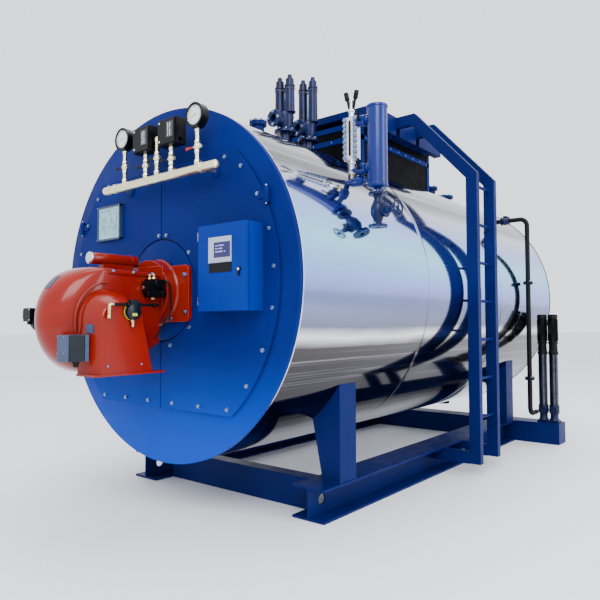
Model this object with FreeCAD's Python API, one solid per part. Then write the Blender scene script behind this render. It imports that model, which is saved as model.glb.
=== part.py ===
import FreeCAD, Part
import math
import os

# Packaged fire-tube steam boiler on a skid, with burner, ladder, level column and feed pumps.
# Millimetres. +X is the right-hand side seen from the burner, +Y runs to the rear, +Z is up.
# The origin is the centre of the skid's four anchor holes, on the floor.

V = FreeCAD.Vector
os.makedirs("parts", exist_ok=True)

# ---------------------------------------------------------------- driving dimensions
SEAT = 0.3                  # clearance between a piece and the curved face that carries it

PLATE_R = 1000.0            # front plate
PLATE_T = 30.0
SHELL_R = 992.0             # polished jacket, outside
SHELL_WALL = 60.0           # jacket, insulation and pressure plate together
REAR_R = 996.0
REAR_T = 20.0
BODY_LENGTH = 3870.0        # front plate face to rear plate face
AXIS_Z = 1285.0             # boiler centreline above the floor

RAIL_X = 715.0              # web centre of each skid rail
RAIL_W = 220.0
RAIL_H = 180.0
RAIL_LENGTH = 2900.0
RAIL_START = 410.0          # front plate face to the front end of the rails
FLANGE_T = 14.0
WEB_T = 10.0
TOW_HOLE_R = 30.0
TOW_HOLE_FROM_END = 120.0
ANCHOR_R = 13.0
ANCHOR_FROM_WEB = 75.0
ANCHOR_FROM_END = 150.0
CROSS_START = 560.0         # front cross channel behind the front plate face
CROSS_W = 95.0
REAR_BEAM_W = 190.0
REAR_BEAM_REACH = 1205.0    # right-hand end of the rear beam, which carries the pumps

SADDLE_LENGTH = 160.0
SADDLE_PLATE_T = 12.0
SADDLE_STARTS = (565.0, 3120.0)
SADDLE_OUT_X = 820.0
SADDLE_FOOT_X = 700.0
SADDLE_TIP_X = 573.0
SADDLE_TOP = -480.0         # trimming height of the saddle, from the boiler axis

DOOR_R = 890.0              # bolted smoke-box doors on the front plate
DOOR_T = 20.0
DOOR_TOP = 665.0
DOOR_BOTTOM = -690.0
DOOR_GAP = 6.0
HINGE_Z = 404.0
BURNER_Z = -30.0            # burner plate centre from the boiler axis
BURNER_PLATE_R = 285.0

NAMEPLATE_X = -497.0
NAMEPLATE_Z = 406.0
NAMEPLATE_W = 240.0
NAMEPLATE_H = 215.0
NAMEPLATE_T = 4.0
NAMEPLATE_STANDOFF = 14.0

CABINET_X = (452.0, 787.0)
CABINET_Z = (-158.0, 268.0)
CABINET_BODY_D = 95.0
CABINET_WALL = 2.5
CABINET_DOOR_T = 20.0
CABINET_DOOR_GAP = 5.0
KNUCKLE_R = 8.0
HINGE_PIN_R = 4.0
KNUCKLE_H = 22.0
KNUCKLE_SPLIT = 0.5
HINGE_CLEARANCE = 0.3
KNUCKLE_FROM_END = 50.0
DISPLAY_W = 160.0
DISPLAY_H = 130.0
DISPLAY_T = 8.0
DISPLAY_X = 613.0
DISPLAY_Z = 138.0

MANIFOLD_R = 24.0
MANIFOLD_X = (-410.0, 570.0)
MANIFOLD_Y = -120.0
MANIFOLD_Z = 575.0
RISER_R = 11.0
COCK_R = 17.0
GAUGE_R = 65.0
GAUGE_D = 52.0
GAUGE_Z = 850.0
GAUGE_XS = (-210.0, 420.0)
SWITCH_XS = (-12.0, 211.0)
SWITCH_W = 148.0
SWITCH_H = 140.0
SWITCH_D = 76.0
SWITCH_Z = 805.0
TEST_COCK_X = 88.0
TEST_COCK_TOP = 800.0

FLANGE_W = 535.0            # burner mounting flange
FLANGE_H = 310.0
BURNER_FLANGE_T = 25.0
FLANGE_Z = -55.0
THROAT_R = 178.0
THROAT_Z = -45.0
HOUSING_X = (-230.0, 110.0)
HOUSING_NOSE = 256.0        # length of the rounded nose ahead of the fan axis
HOUSING_BACK = -115.0       # rear face of the fan housing, ahead of the front plate face
FAN_Y = -450.0              # fan axis, which runs along X
FAN_Z = -195.0
FAN_R = 268.0
HOUSING_TOP = 72.0
HOUSING_BOTTOM = -468.0
AIR_BOX_X = 252.0
AIR_BOX_R = 165.0
AIR_BOX_Y = -425.0
AIR_BOX_FACE_Y = (-556.0, -290.0)  # outer face, narrower than the box's foot
AIR_BOX_Z = -195.0
MOTOR_R = 75.0
MOTOR_LENGTH = 210.0
MOTOR_Y = -497.0
MOTOR_BOX = (80.0, 22.0, 72.0)
TUBE_R = 33.0
TUBE_X = -100.0
TUBE_Z = 130.0
TUBE_FRONT = -420.0

STRINGER_W = 80.0  # ladder stringer, along X
STRINGER_D = 50.0  # ladder stringer, along Y
STRINGER_X = 1095.0  # outer face
STRINGER_FOOT = -1200.0  # lower end, from the boiler axis
STRINGER_BEND = 840.0       # outer bend at the top of the straight part
FRAME_BEND_X = 617.0
FRAME_TOP = 1365.0
LADDER_FRONT = 1850.0
LADDER_PITCH = 320.0
RUNG_R = 11.0
RUNG_STEP = 275.0
RUNG_COUNT = 7
RUNG_FIRST = -890.0
FOOT_H = 84.0
PLATFORM_X = 460.0
PLATFORM_Y = (1500.0, 2680.0)
BEAM_W = 60.0
BEAM_H = 140.0              # side beams
END_BEAM_H = 45.0
DECK_T = 6.0
CASING_X = 350.0
CASING_TOP = 1280.0
CASING_Y = (1520.0, 2605.0)
ANGLE_W = 40.0
ANGLE_T = 5.0
BAND_Z = 1162.0

SAFETY_X = 0.0
SAFETY_YS = (1067.0, 1335.0)
SAFETY_TOPS = (1560.0, 1628.0)
SAFETY_NECK_R = 35.0
SAFETY_FLANGE_R = 78.0
SAFETY_FLANGE_Z = 1140.0
SAFETY_FLANGE_T = 20.0
SAFETY_BODY_R = 62.0
BONNET_R = 36.0
BONNET_SPREAD = 46.0
OUTLET_R = 62.0
OUTLET_REACH = 126.0
OUTLET_BORE_R = 26.0
OUTLET_BORE_L = 40.0
TOP_NOZZLES = ((0.0, 785.0, 60.0, 1150.0), (0.0, 3330.0, 75.0, 1150.0), (0.0, 3660.0, 90.0, 1115.0))
NOZZLE_NECK = 0.7           # neck radius as a part of its flange radius
NOZZLE_FLANGE_T = 28.0

COLUMN_X = 1000.0           # level column
COLUMN_Y = 690.0
COLUMN_R = 57.0
COLUMN_Z = (537.0, 1002.0)
CAP_T = 12.0
CAP_LIP = 5.0
GAUGE_GLASS_X = 840.0
GAUGE_GLASS_Y = 672.0
GAUGE_GLASS_W = 92.0
GAUGE_GLASS_D = 40.0
GAUGE_GLASS_Z = (712.0, 962.0)
GAUGE_VALVE_ZS = (650.0, 925.0)
GAUGE_POST = 110.0          # upper valve above the glass
GAUGE_HUB_X = 914.0
GAUGE_HUB_R = 25.0
PIPE_R = 17.0
STEAM_PIPE_X = 795.0
STEAM_PIPE_Y = 728.0
STEAM_PIPE_Z = 965.0
WATER_PIPE_Z = 590.0
DRAIN_FLANGE_R = 53.0
DRAIN_FLANGE_T = 14.0
DRAIN_TOP_FLANGE_Z = 478.0
DRAIN_BODY_Z = 405.0
DRAIN_BODY_R = 40.0
DRAIN_OUTLET_Z = 312.0      # underside of the outlet flange
DRAIN_PCD = 78.0
DRAIN_HOLE_R = 6.0
DRAIN_BORE_R = 12.5
STEM_R = 6.0
STEM_END = 1142.0
WHEEL_X = 1128.0
WHEEL_R = 50.0
WHEEL_RIM_R = 5.0
WHEEL_HUB_R = 13.0
WHEEL_HUB_L = 16.0
WHEEL_SPOKE_R = 4.0

FEED_X = 1038.0             # boiler feed pipe
FEED_Y = 3080.0
FEED_R = 20.0
FEED_TOP = 680.0
FEED_BEND_R = 60.0
FEED_LOW = -1000.0
CHECK_X = 850.0
CHECK_R = 38.0
PUMP_XS = (1050.0, 1142.0)
PUMP_COLUMN_R = 37.0
PUMP_MOTOR_R = 44.0
PUMP_FOOT = 88.0
PUMP_FOOT_H = 150.0
PUMP_HEAD_Z = -480.0  # top of the pump column, from the boiler axis
PUMP_TOP = -147.0
PUMP_PORT_Z = -1000.0
PUMP_BORE_R = 14.0
PUMP_BORE_L = 30.0
BLOWDOWN_Y = 3570.0
BLOWDOWN_R = 26.0
BLOWDOWN_BORE_R = 18.0
BLOWDOWN_FLANGE_R = 62.0
BLOWDOWN_END = -1045.0  # ---------------------------------------------------------------- derived places
FRONT_Y = -(RAIL_START + RAIL_LENGTH / 2)
RAIL_TOP = RAIL_H - AXIS_Z
FLOOR = -AXIS_Z


def place(shape):
    """Moves a shape drawn from the front plate's centre into the part's own frame."""
    moved = shape.copy()
    moved.translate(V(0, FRONT_Y, AXIS_Z))
    return moved


def save(name, *shapes):
    solids = [place(solid) for shape in shapes for solid in shape.Solids]
    Part.makeCompound(solids).exportStep(f"parts/{name}.step")


# ---------------------------------------------------------------- shape helpers
def box(x, y, z):
    return Part.makeBox(x[1] - x[0], y[1] - y[0], z[1] - z[0], V(x[0], y[0], z[0]))


def rod_x(radius, x, y, z):
    return Part.makeCylinder(radius, x[1] - x[0], V(x[0], y, z), V(1, 0, 0))


def rod_y(radius, y, x, z):
    return Part.makeCylinder(radius, y[1] - y[0], V(x, y[0], z), V(0, 1, 0))


def rod_z(radius, z, x, y):
    return Part.makeCylinder(radius, z[1] - z[0], V(x, y, z[0]), V(0, 0, 1))


def prism_xz(points, y):
    """A polygon given as X, Z pairs, from y[0] to y[1]."""
    corners = [V(px, y[0], pz) for px, pz in points]
    return Part.Face(Part.makePolygon(corners + corners[:1])).extrude(V(0, y[1] - y[0], 0))


def prism_yz(points, x):
    """A polygon given as Y, Z pairs, from x[0] to x[1]."""
    corners = [V(x[0], py, pz) for py, pz in points]
    return Part.Face(Part.makePolygon(corners + corners[:1])).extrude(V(x[1] - x[0], 0, 0))


def prism_xy(points, z):
    """A polygon given as X, Y pairs, from z[0] to z[1]."""
    corners = [V(px, py, z[0]) for px, py in points]
    return Part.Face(Part.makePolygon(corners + corners[:1])).extrude(V(0, 0, z[1] - z[0]))


def arc_points(centre, radius, start, end, count):
    """Points on an arc, with angles in degrees."""
    steps = [start + (end - start) * i / count for i in range(count + 1)]
    return [(centre[0] + radius * math.cos(math.radians(a)),
             centre[1] + radius * math.sin(math.radians(a))) for a in steps]


def fuse(*shapes):
    return shapes[0].multiFuse(list(shapes[1:])).removeSplitter()


def off_shell(shape):
    """Trims a shape to stand on the jacket."""
    return shape.cut(rod_y(SHELL_R + SEAT, (-1000, BODY_LENGTH + 1000), 0, 0))


def h_beam_y(centre_x, width, y, z):
    """An H section along Y."""
    half_w = width / 2
    web = box((centre_x - WEB_T / 2, centre_x + WEB_T / 2), y, z)
    lower = box((centre_x - half_w, centre_x + half_w), y, (z[0], z[0] + FLANGE_T))
    upper = box((centre_x - half_w, centre_x + half_w), y, (z[1] - FLANGE_T, z[1]))
    return fuse(web, lower, upper)


# ---------------------------------------------------------------- pressure body
def shell_jacket():
    y = (PLATE_T, BODY_LENGTH - REAR_T)
    return rod_y(SHELL_R, y, 0, 0).cut(rod_y(SHELL_R - SHELL_WALL, y, 0, 0))


def doors():
    """The two bolted half doors, with the burner plate's hole between them."""
    y = (-DOOR_T, 0)
    whole = rod_y(DOOR_R, y, 0, 0)
    whole = whole.common(box((-DOOR_R, DOOR_R), y, (DOOR_BOTTOM, DOOR_TOP)))
    whole = whole.cut(rod_y(BURNER_PLATE_R + DOOR_GAP, y, 0, BURNER_Z))
    left = whole.common(box((-DOOR_R, -DOOR_GAP / 2), y, (-DOOR_R, DOOR_R)))
    right = whole.common(box((DOOR_GAP / 2, DOOR_R), y, (-DOOR_R, DOOR_R)))
    return left, right


def door_lugs():
    """A hinge lug beside each door, on the fixed plate."""
    lug_r = 15.0
    lug_h = 80.0
    gap = 4.0
    lugs = []
    z = (HINGE_Z - lug_h / 2, HINGE_Z + lug_h / 2)
    for side in (-1, 1):
        x = side * (math.sqrt(DOOR_R ** 2 - z[0] ** 2) + lug_r + gap)
        barrel = rod_z(lug_r, z, x, -lug_r - DOOR_T / 2)
        pad = box((x - lug_r / 2, x + lug_r / 2), (-DOOR_T / 2 - lug_r, 0), z)
        lugs.append(fuse(barrel, pad))
    return lugs


def nameplate():
    face_y = -DOOR_T - NAMEPLATE_STANDOFF
    half_w = NAMEPLATE_W / 2
    half_h = NAMEPLATE_H / 2
    plate = box((NAMEPLATE_X - half_w, NAMEPLATE_X + half_w), (face_y - NAMEPLATE_T, face_y),
                (NAMEPLATE_Z - half_h, NAMEPLATE_Z + half_h))
    rim = 10.0
    frame = box((NAMEPLATE_X - half_w, NAMEPLATE_X + half_w), (face_y, -DOOR_T),
                (NAMEPLATE_Z - half_h, NAMEPLATE_Z + half_h))
    inner = box((NAMEPLATE_X - half_w + rim, NAMEPLATE_X + half_w - rim), (face_y, -DOOR_T),
                (NAMEPLATE_Z - half_h + rim, NAMEPLATE_Z + half_h - rim))
    return fuse(plate, frame.cut(inner))


def saddles():
    made = []
    for start in SADDLE_STARTS:
        end = start + SADDLE_LENGTH
        for side in (-1, 1):
            outline = [(side * SADDLE_FOOT_X, RAIL_TOP), (side * SADDLE_OUT_X, RAIL_TOP),
                       (side * SADDLE_OUT_X, SADDLE_TOP), (side * SADDLE_TIP_X, SADDLE_TOP)]
            front = prism_xz(outline, (start, start + SADDLE_PLATE_T))
            back = prism_xz(outline, (end - SADDLE_PLATE_T, end))
            outer_x = sorted((side * SADDLE_OUT_X, side * (SADDLE_OUT_X - SADDLE_PLATE_T)))
            outer = box(outer_x, (start, end), (RAIL_TOP, SADDLE_TOP))
            foot_x = sorted((side * SADDLE_FOOT_X, side * SADDLE_OUT_X))
            foot = box(foot_x, (start, end), (RAIL_TOP, RAIL_TOP + SADDLE_PLATE_T))
            made.append(off_shell(fuse(front, back, outer, foot)))
    return made


# ---------------------------------------------------------------- skid
def rail(side):
    y = (RAIL_START, RAIL_START + RAIL_LENGTH)
    beam = h_beam_y(side * RAIL_X, RAIL_W, y, (FLOOR, RAIL_TOP))
    x = side * RAIL_X
    hole_x = (x - WEB_T, x + WEB_T)
    for hole_y in (y[0] + TOW_HOLE_FROM_END, y[1] - TOW_HOLE_FROM_END):
        beam = beam.cut(rod_x(TOW_HOLE_R, hole_x, hole_y, FLOOR + RAIL_H / 2))
    for hole_y in (y[0] + ANCHOR_FROM_END, y[1] - ANCHOR_FROM_END):
        anchor_x = side * (RAIL_X + ANCHOR_FROM_WEB)
        beam = beam.cut(rod_z(ANCHOR_R, (FLOOR, FLOOR + FLANGE_T), anchor_x, hole_y))
    return beam


def front_cross_channel():
    reach = RAIL_X - RAIL_W / 2
    y = (CROSS_START, CROSS_START + CROSS_W)
    web = box((-reach, reach), (y[0], y[0] + WEB_T), (FLOOR, RAIL_TOP))
    lower = box((-reach, reach), y, (FLOOR, FLOOR + FLANGE_T))
    upper = box((-reach, reach), y, (RAIL_TOP - FLANGE_T, RAIL_TOP))
    return fuse(web, lower, upper)


def rear_beam():
    """A closed box section across the rear ends of the rails, longer on the pump side."""
    start = RAIL_START + RAIL_LENGTH
    x = (-RAIL_X - RAIL_W / 2, REAR_BEAM_REACH)
    y = (start, start + REAR_BEAM_W)
    solid = box(x, y, (FLOOR, RAIL_TOP))
    inside = box((x[0] + WEB_T, x[1] - WEB_T), (y[0] + WEB_T, y[1] - WEB_T),
                 (FLOOR + FLANGE_T, RAIL_TOP - FLANGE_T))
    return solid.cut(inside)


# ---------------------------------------------------------------- ladder and platform
def offset_path(points, width):
    """The same open path moved to its left by width, with mitred corners."""
    lines = []
    for (ax, az), (bx, bz) in zip(points, points[1:]):
        length = math.hypot(bx - ax, bz - az)
        nx = -(bz - az) / length
        nz = (bx - ax) / length
        lines.append(((ax + nx * width, az + nz * width), (bx - ax, bz - az)))
    result = [lines[0][0]]
    for (p, d), (q, e) in zip(lines, lines[1:]):
        t = ((q[0] - p[0]) * e[1] - (q[1] - p[1]) * e[0]) / (d[0] * e[1] - d[1] * e[0])
        result.append((p[0] + d[0] * t, p[1] + d[1] * t))
    last, direction = lines[-1]
    result.append((last[0] + direction[0], last[1] + direction[1]))
    return result


def ladder_frame(start):
    """A stringer that leans in at the top and runs on as a beam over the boiler."""
    outer = [(STRINGER_X, STRINGER_FOOT), (STRINGER_X, STRINGER_BEND),
             (FRAME_BEND_X, FRAME_TOP), (-PLATFORM_X, FRAME_TOP)]
    inner = offset_path(outer, STRINGER_W)
    return prism_xz(outer + inner[::-1], (start, start + STRINGER_D))


def ladder_rungs():
    y = (LADDER_FRONT + STRINGER_D, LADDER_FRONT + LADDER_PITCH)
    x = STRINGER_X - STRINGER_W / 2
    return [rod_y(RUNG_R, y, x, RUNG_FIRST + i * RUNG_STEP) for i in range(RUNG_COUNT)]


def ladder_feet():
    """Short brackets that carry the stringers out from the rail."""
    x = (RAIL_X + WEB_T / 2, STRINGER_X - STRINGER_W)
    z = (RAIL_TOP - FLANGE_T - FOOT_H, RAIL_TOP - FLANGE_T)
    feet = []
    for i in range(2):
        start = LADDER_FRONT + i * LADDER_PITCH
        feet.append(box(x, (start, start + STRINGER_D), z))
    return feet


def platform_side_beams():
    """Lengths of beam between the cross beams, on both sides."""
    cross = [PLATFORM_Y[0], LADDER_FRONT, LADDER_FRONT + LADDER_PITCH, PLATFORM_Y[1] - BEAM_W]
    beams = []
    for side in (-1, 1):
        x = sorted((side * PLATFORM_X, side * (PLATFORM_X - BEAM_W)))
        for a, b in zip(cross, cross[1:]):
            beams.append(box(x, (a + BEAM_W, b), (FRAME_TOP - BEAM_H, FRAME_TOP)))
    return beams


def platform_end_beams():
    x = (-PLATFORM_X, PLATFORM_X)
    z = (FRAME_TOP - END_BEAM_H, FRAME_TOP)
    return [box(x, (y, y + BEAM_W), z) for y in (PLATFORM_Y[0], PLATFORM_Y[1] - BEAM_W)]


def flue_casing():
    return off_shell(box((-CASING_X, CASING_X), CASING_Y, (0, CASING_TOP)))


def casing_angles():
    """Corner angles and a band round the flue casing."""
    top = CASING_TOP
    pieces = []
    for side in (-1, 1):
        for y in CASING_Y:
            inward = 1 if y == CASING_Y[0] else -1
            edge_x = side * (CASING_X + ANGLE_T)
            edge_y = y - inward * ANGLE_T
            leg_a = box(sorted((edge_x, edge_x - side * ANGLE_W)), sorted((edge_y, y)), (0, top))
            leg_b = box(sorted((edge_x, side * CASING_X)), sorted((edge_y, edge_y + inward * ANGLE_W)), (0, top))
            pieces += [leg_a, leg_b]
    outer = box((-CASING_X - ANGLE_T, CASING_X + ANGLE_T), (CASING_Y[0] - ANGLE_T, CASING_Y[1] + ANGLE_T),
                (BAND_Z - ANGLE_W / 2, BAND_Z + ANGLE_W / 2))
    inner = box((-CASING_X, CASING_X), CASING_Y, (BAND_Z - ANGLE_W, BAND_Z + ANGLE_W))
    return off_shell(fuse(*pieces, outer.cut(inner)))


# ---------------------------------------------------------------- front fittings
def manifold():
    tube = rod_x(MANIFOLD_R, MANIFOLD_X, MANIFOLD_Y, MANIFOLD_Z)
    inset = 120.0
    stubs = [rod_y(MANIFOLD_R / 2, (MANIFOLD_Y, -DOOR_T), x, MANIFOLD_Z)
             for x in (MANIFOLD_X[0] + inset, MANIFOLD_X[1] - inset)]
    return fuse(tube, *stubs)


def riser(x, top, cock_z):
    """A thin pipe up from the manifold, with a cock across it."""
    cock_reach = 26.0
    foot = MANIFOLD_Z + MANIFOLD_R - RISER_R / 2
    pipe = rod_z(RISER_R, (foot, top), x, MANIFOLD_Y)
    nut = rod_z(RISER_R * 1.5, (foot, foot + 4 * RISER_R), x, MANIFOLD_Y)
    cock = rod_x(COCK_R, (x - cock_reach, x + cock_reach), MANIFOLD_Y, cock_z)
    trim = rod_x(MANIFOLD_R + SEAT, MANIFOLD_X, MANIFOLD_Y, MANIFOLD_Z)
    return fuse(pipe, nut, cock).cut(trim)


def pressure_gauge(x):
    half = GAUGE_D / 2
    case = rod_y(GAUGE_R, (MANIFOLD_Y - half, MANIFOLD_Y + half), x, GAUGE_Z)
    recess = rod_y(GAUGE_R - 9.0, (MANIFOLD_Y - half, MANIFOLD_Y - half + 6.0), x, GAUGE_Z)
    return case.cut(recess)


def pressure_switch(x):
    half_w = SWITCH_W / 2
    y = (MANIFOLD_Y - SWITCH_D / 2, MANIFOLD_Y + SWITCH_D / 2)
    return box((x - half_w, x + half_w), y, (SWITCH_Z - SWITCH_H / 2, SWITCH_Z + SWITCH_H / 2))


# ---------------------------------------------------------------- control cabinet
HINGE_X = CABINET_X[0] - KNUCKLE_R
CABINET_BACK = -DOOR_T
CABINET_FRONT = CABINET_BACK - CABINET_BODY_D
CABINET_DOOR_Y = (CABINET_FRONT - CABINET_DOOR_GAP - CABINET_DOOR_T, CABINET_FRONT - CABINET_DOOR_GAP)
HINGE_Y = CABINET_DOOR_Y[1] - KNUCKLE_R


def knuckle_heights():
    return (CABINET_Z[0] + KNUCKLE_FROM_END, CABINET_Z[1] - KNUCKLE_FROM_END)


def cabinet_body():
    """An open-fronted case with the fixed halves of its hinges."""
    y = (CABINET_FRONT, CABINET_BACK)
    case = box(CABINET_X, y, CABINET_Z)
    hollow = box((CABINET_X[0] + CABINET_WALL, CABINET_X[1] - CABINET_WALL),
                 (y[0], y[1] - CABINET_WALL),
                 (CABINET_Z[0] + CABINET_WALL, CABINET_Z[1] - CABINET_WALL))
    pieces = [case.cut(hollow)]
    for z in knuckle_heights():
        low = (z - KNUCKLE_H - KNUCKLE_SPLIT, z - KNUCKLE_SPLIT)
        pieces.append(rod_z(KNUCKLE_R, low, HINGE_X, HINGE_Y))
        pieces.append(box((HINGE_X - KNUCKLE_R, CABINET_X[0]), (HINGE_Y, CABINET_FRONT + 4 * KNUCKLE_R), low))
        pieces.append(rod_z(HINGE_PIN_R, (low[0], z + KNUCKLE_H), HINGE_X, HINGE_Y))
    return fuse(*pieces)


def cabinet_door():
    """A shallow pan door with the turning halves of its hinges and a lock."""
    case = box(CABINET_X, CABINET_DOOR_Y, CABINET_Z)
    hollow = box((CABINET_X[0] + CABINET_WALL, CABINET_X[1] - CABINET_WALL),
                 (CABINET_DOOR_Y[0] + CABINET_WALL, CABINET_DOOR_Y[1]),
                 (CABINET_Z[0] + CABINET_WALL, CABINET_Z[1] - CABINET_WALL))
    door = case.cut(hollow)
    for z in knuckle_heights():
        high = (z, z + KNUCKLE_H)
        eye = rod_z(KNUCKLE_R, high, HINGE_X, HINGE_Y)
        leaf = box((HINGE_X, CABINET_X[0]), (CABINET_DOOR_Y[0], HINGE_Y), high)
        bore = rod_z(HINGE_PIN_R + HINGE_CLEARANCE, high, HINGE_X, HINGE_Y)
        door = fuse(door, fuse(eye, leaf).cut(bore))
    lock_z = 38.0
    lock = rod_y(14.0, (CABINET_DOOR_Y[0] - 8.0, CABINET_DOOR_Y[0]), CABINET_X[1] - 42.0, lock_z)
    return fuse(door, lock)


def display_panel():
    y = (CABINET_DOOR_Y[0] - DISPLAY_T, CABINET_DOOR_Y[0])
    return box((DISPLAY_X - DISPLAY_W / 2, DISPLAY_X + DISPLAY_W / 2), y,
               (DISPLAY_Z - DISPLAY_H / 2, DISPLAY_Z + DISPLAY_H / 2))


# ---------------------------------------------------------------- burner
BURNER_FLANGE_Y = (-DOOR_T - BURNER_FLANGE_T, -DOOR_T)


def burner_flange():
    flange = box((-FLANGE_W / 2, FLANGE_W / 2), BURNER_FLANGE_Y,
                 (FLANGE_Z - FLANGE_H / 2, FLANGE_Z + FLANGE_H / 2))
    throat = rod_y(THROAT_R, (HOUSING_BACK, BURNER_FLANGE_Y[0]), 0, THROAT_Z)
    return fuse(flange, throat)


def burner_housing():
    """The fan housing: a scroll about the fan axis with a straight top and a flat foot."""
    nose = arc_points((FAN_Y, FAN_Z), FAN_R, 92, 270, 16)
    outline = [(HOUSING_BACK, HOUSING_TOP - 8.0)] + nose
    outline += [(FAN_Y + 180.0, HOUSING_BOTTOM), (HOUSING_BACK, THROAT_Z - THROAT_R)]
    nose_x = (HOUSING_X[0] + HOUSING_X[1]) / 2
    half = (HOUSING_X[1] - HOUSING_X[0]) / 2
    arc = [(nose_x + half * math.cos(a), FAN_Y - HOUSING_NOSE * math.sin(a))
           for a in (math.pi * i / 16 for i in range(17))]
    plan = [(HOUSING_X[1], HOUSING_BACK)] + arc + [(HOUSING_X[0], HOUSING_BACK)]
    return prism_yz(outline, HOUSING_X).common(prism_xy(plan, (HOUSING_BOTTOM, HOUSING_TOP)))


def burner_air_box():
    """The arched air intake box on the right of the fan housing."""
    arch = arc_points((AIR_BOX_Y, AIR_BOX_Z), AIR_BOX_R, 0, 180, 12)
    foot = HOUSING_BOTTOM
    rear_foot = AIR_BOX_Y + AIR_BOX_R + 60.0
    outline = arch + [(AIR_BOX_Y - AIR_BOX_R, foot), (rear_foot, foot)]
    front = AIR_BOX_Y - AIR_BOX_R
    plan = [(HOUSING_X[1], front), (AIR_BOX_X, AIR_BOX_FACE_Y[0]),
            (AIR_BOX_X, AIR_BOX_FACE_Y[1]), (HOUSING_X[1], rear_foot)]
    box_shape = prism_yz(outline, (HOUSING_X[1], AIR_BOX_X))
    return box_shape.common(prism_xy(plan, (foot, AIR_BOX_Z + AIR_BOX_R)))


def burner_motor():
    """The motor reaches in to the housing's curved side; its terminal box faces forward."""
    x = (HOUSING_X[0] - MOTOR_LENGTH, HOUSING_X[0] + MOTOR_R)
    barrel = rod_x(MOTOR_R, x, MOTOR_Y, FAN_Z)
    front = MOTOR_Y - MOTOR_R
    terminal = box((x[0], x[0] + MOTOR_BOX[0]), (front - MOTOR_BOX[1], MOTOR_Y),
                   (FAN_Z - 10.0, FAN_Z - 10.0 + MOTOR_BOX[2]))
    return fuse(barrel, terminal).cut(burner_housing())


def burner_tube():
    rest_z = (HOUSING_TOP - 20.0, TUBE_Z)
    tube = rod_y(TUBE_R, (TUBE_FRONT, HOUSING_BACK), TUBE_X, TUBE_Z)
    cradle = box((TUBE_X - TUBE_R / 2, TUBE_X + TUBE_R / 2), (TUBE_FRONT + 60.0, HOUSING_BACK), rest_z)
    return fuse(tube, cradle).cut(burner_housing())


def burner_servo():
    front = AIR_BOX_Y - AIR_BOX_R
    return box((95.0, 203.0), (front - 100.0, front), (-395.0, -270.0))


def burner_air_switch():
    """Round air pressure switch on the face of the air box."""
    return rod_x(42.0, (AIR_BOX_X, AIR_BOX_X + 35.0), -396.0, -160.0)


def burner_valve_block():
    return box((HOUSING_X[1], HOUSING_X[1] + 75.0), (-215.0, -135.0), (-90.0, 15.0))


# ---------------------------------------------------------------- top fittings
def safety_valve(y, top):
    """A twin-spring safety valve on its nozzle."""
    x = SAFETY_X
    flange_top = SAFETY_FLANGE_Z + SAFETY_FLANGE_T
    body_top = flange_top + 2 * SAFETY_BODY_R
    pieces = [rod_z(SAFETY_NECK_R, (SHELL_R - 100.0, SAFETY_FLANGE_Z), x, y),
              rod_z(SAFETY_FLANGE_R, (SAFETY_FLANGE_Z, flange_top), x, y),
              rod_z(SAFETY_BODY_R, (flange_top, body_top), x, y)]
    for side in (-1, 1):
        bonnet_x = x + side * BONNET_SPREAD
        pieces.append(rod_z(BONNET_R, (body_top - BONNET_R, top), bonnet_x, y))
    mid = (flange_top + body_top) / 2
    pieces.append(rod_y(OUTLET_R * 0.6, (y - OUTLET_REACH, y), x, mid))
    pieces.append(rod_y(OUTLET_R, (y - OUTLET_REACH, y - OUTLET_REACH + SAFETY_FLANGE_T), x, mid))
    bore = rod_y(OUTLET_BORE_R, (y - OUTLET_REACH, y - OUTLET_REACH + OUTLET_BORE_L), x, mid)
    return off_shell(fuse(*pieces).cut(bore))


def top_nozzle(x, y, flange_r, top):
    neck = rod_z(flange_r * NOZZLE_NECK, (SHELL_R - 100.0, top), x, y)
    flange = rod_z(flange_r, (top - NOZZLE_FLANGE_T, top), x, y)
    return off_shell(fuse(neck, flange))


# ---------------------------------------------------------------- level column
def column_body(extra=0.0):
    return rod_z(COLUMN_R + extra, COLUMN_Z, COLUMN_X, COLUMN_Y)


def level_column():
    caps = [rod_z(COLUMN_R + CAP_LIP, (z, z + CAP_T), COLUMN_X, COLUMN_Y)
            for z in (COLUMN_Z[0], COLUMN_Z[1] - CAP_T)]
    return fuse(column_body(), *caps)


def column_pipes():
    """The steam pipe over the gauge and the water pipe below it, both from the jacket."""
    steam = fuse(rod_z(PIPE_R, (0, STEAM_PIPE_Z + PIPE_R), STEAM_PIPE_X, STEAM_PIPE_Y),
                 rod_x(PIPE_R, (STEAM_PIPE_X, COLUMN_X), STEAM_PIPE_Y, STEAM_PIPE_Z))
    water = rod_x(PIPE_R, (0, COLUMN_X), COLUMN_Y, WATER_PIPE_Z)
    valve = rod_x(PIPE_R * 1.8, (848.0, 900.0), COLUMN_Y, WATER_PIPE_Z)
    water = fuse(water, valve)
    column = column_body(SEAT)
    return [off_shell(pipe.cut(column)) for pipe in (steam, water)]


def level_gauge():
    half_w = GAUGE_GLASS_W / 2
    y = (GAUGE_GLASS_Y - GAUGE_GLASS_D / 2, GAUGE_GLASS_Y + GAUGE_GLASS_D / 2)
    frame = box((GAUGE_GLASS_X - half_w, GAUGE_GLASS_X + half_w), y, GAUGE_GLASS_Z)
    slot = box((GAUGE_GLASS_X - 9.0, GAUGE_GLASS_X + 9.0), (y[0], y[0] + 8.0),
               (GAUGE_GLASS_Z[0] + 20.0, GAUGE_GLASS_Z[1] - 20.0))
    return frame.cut(slot)


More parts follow.
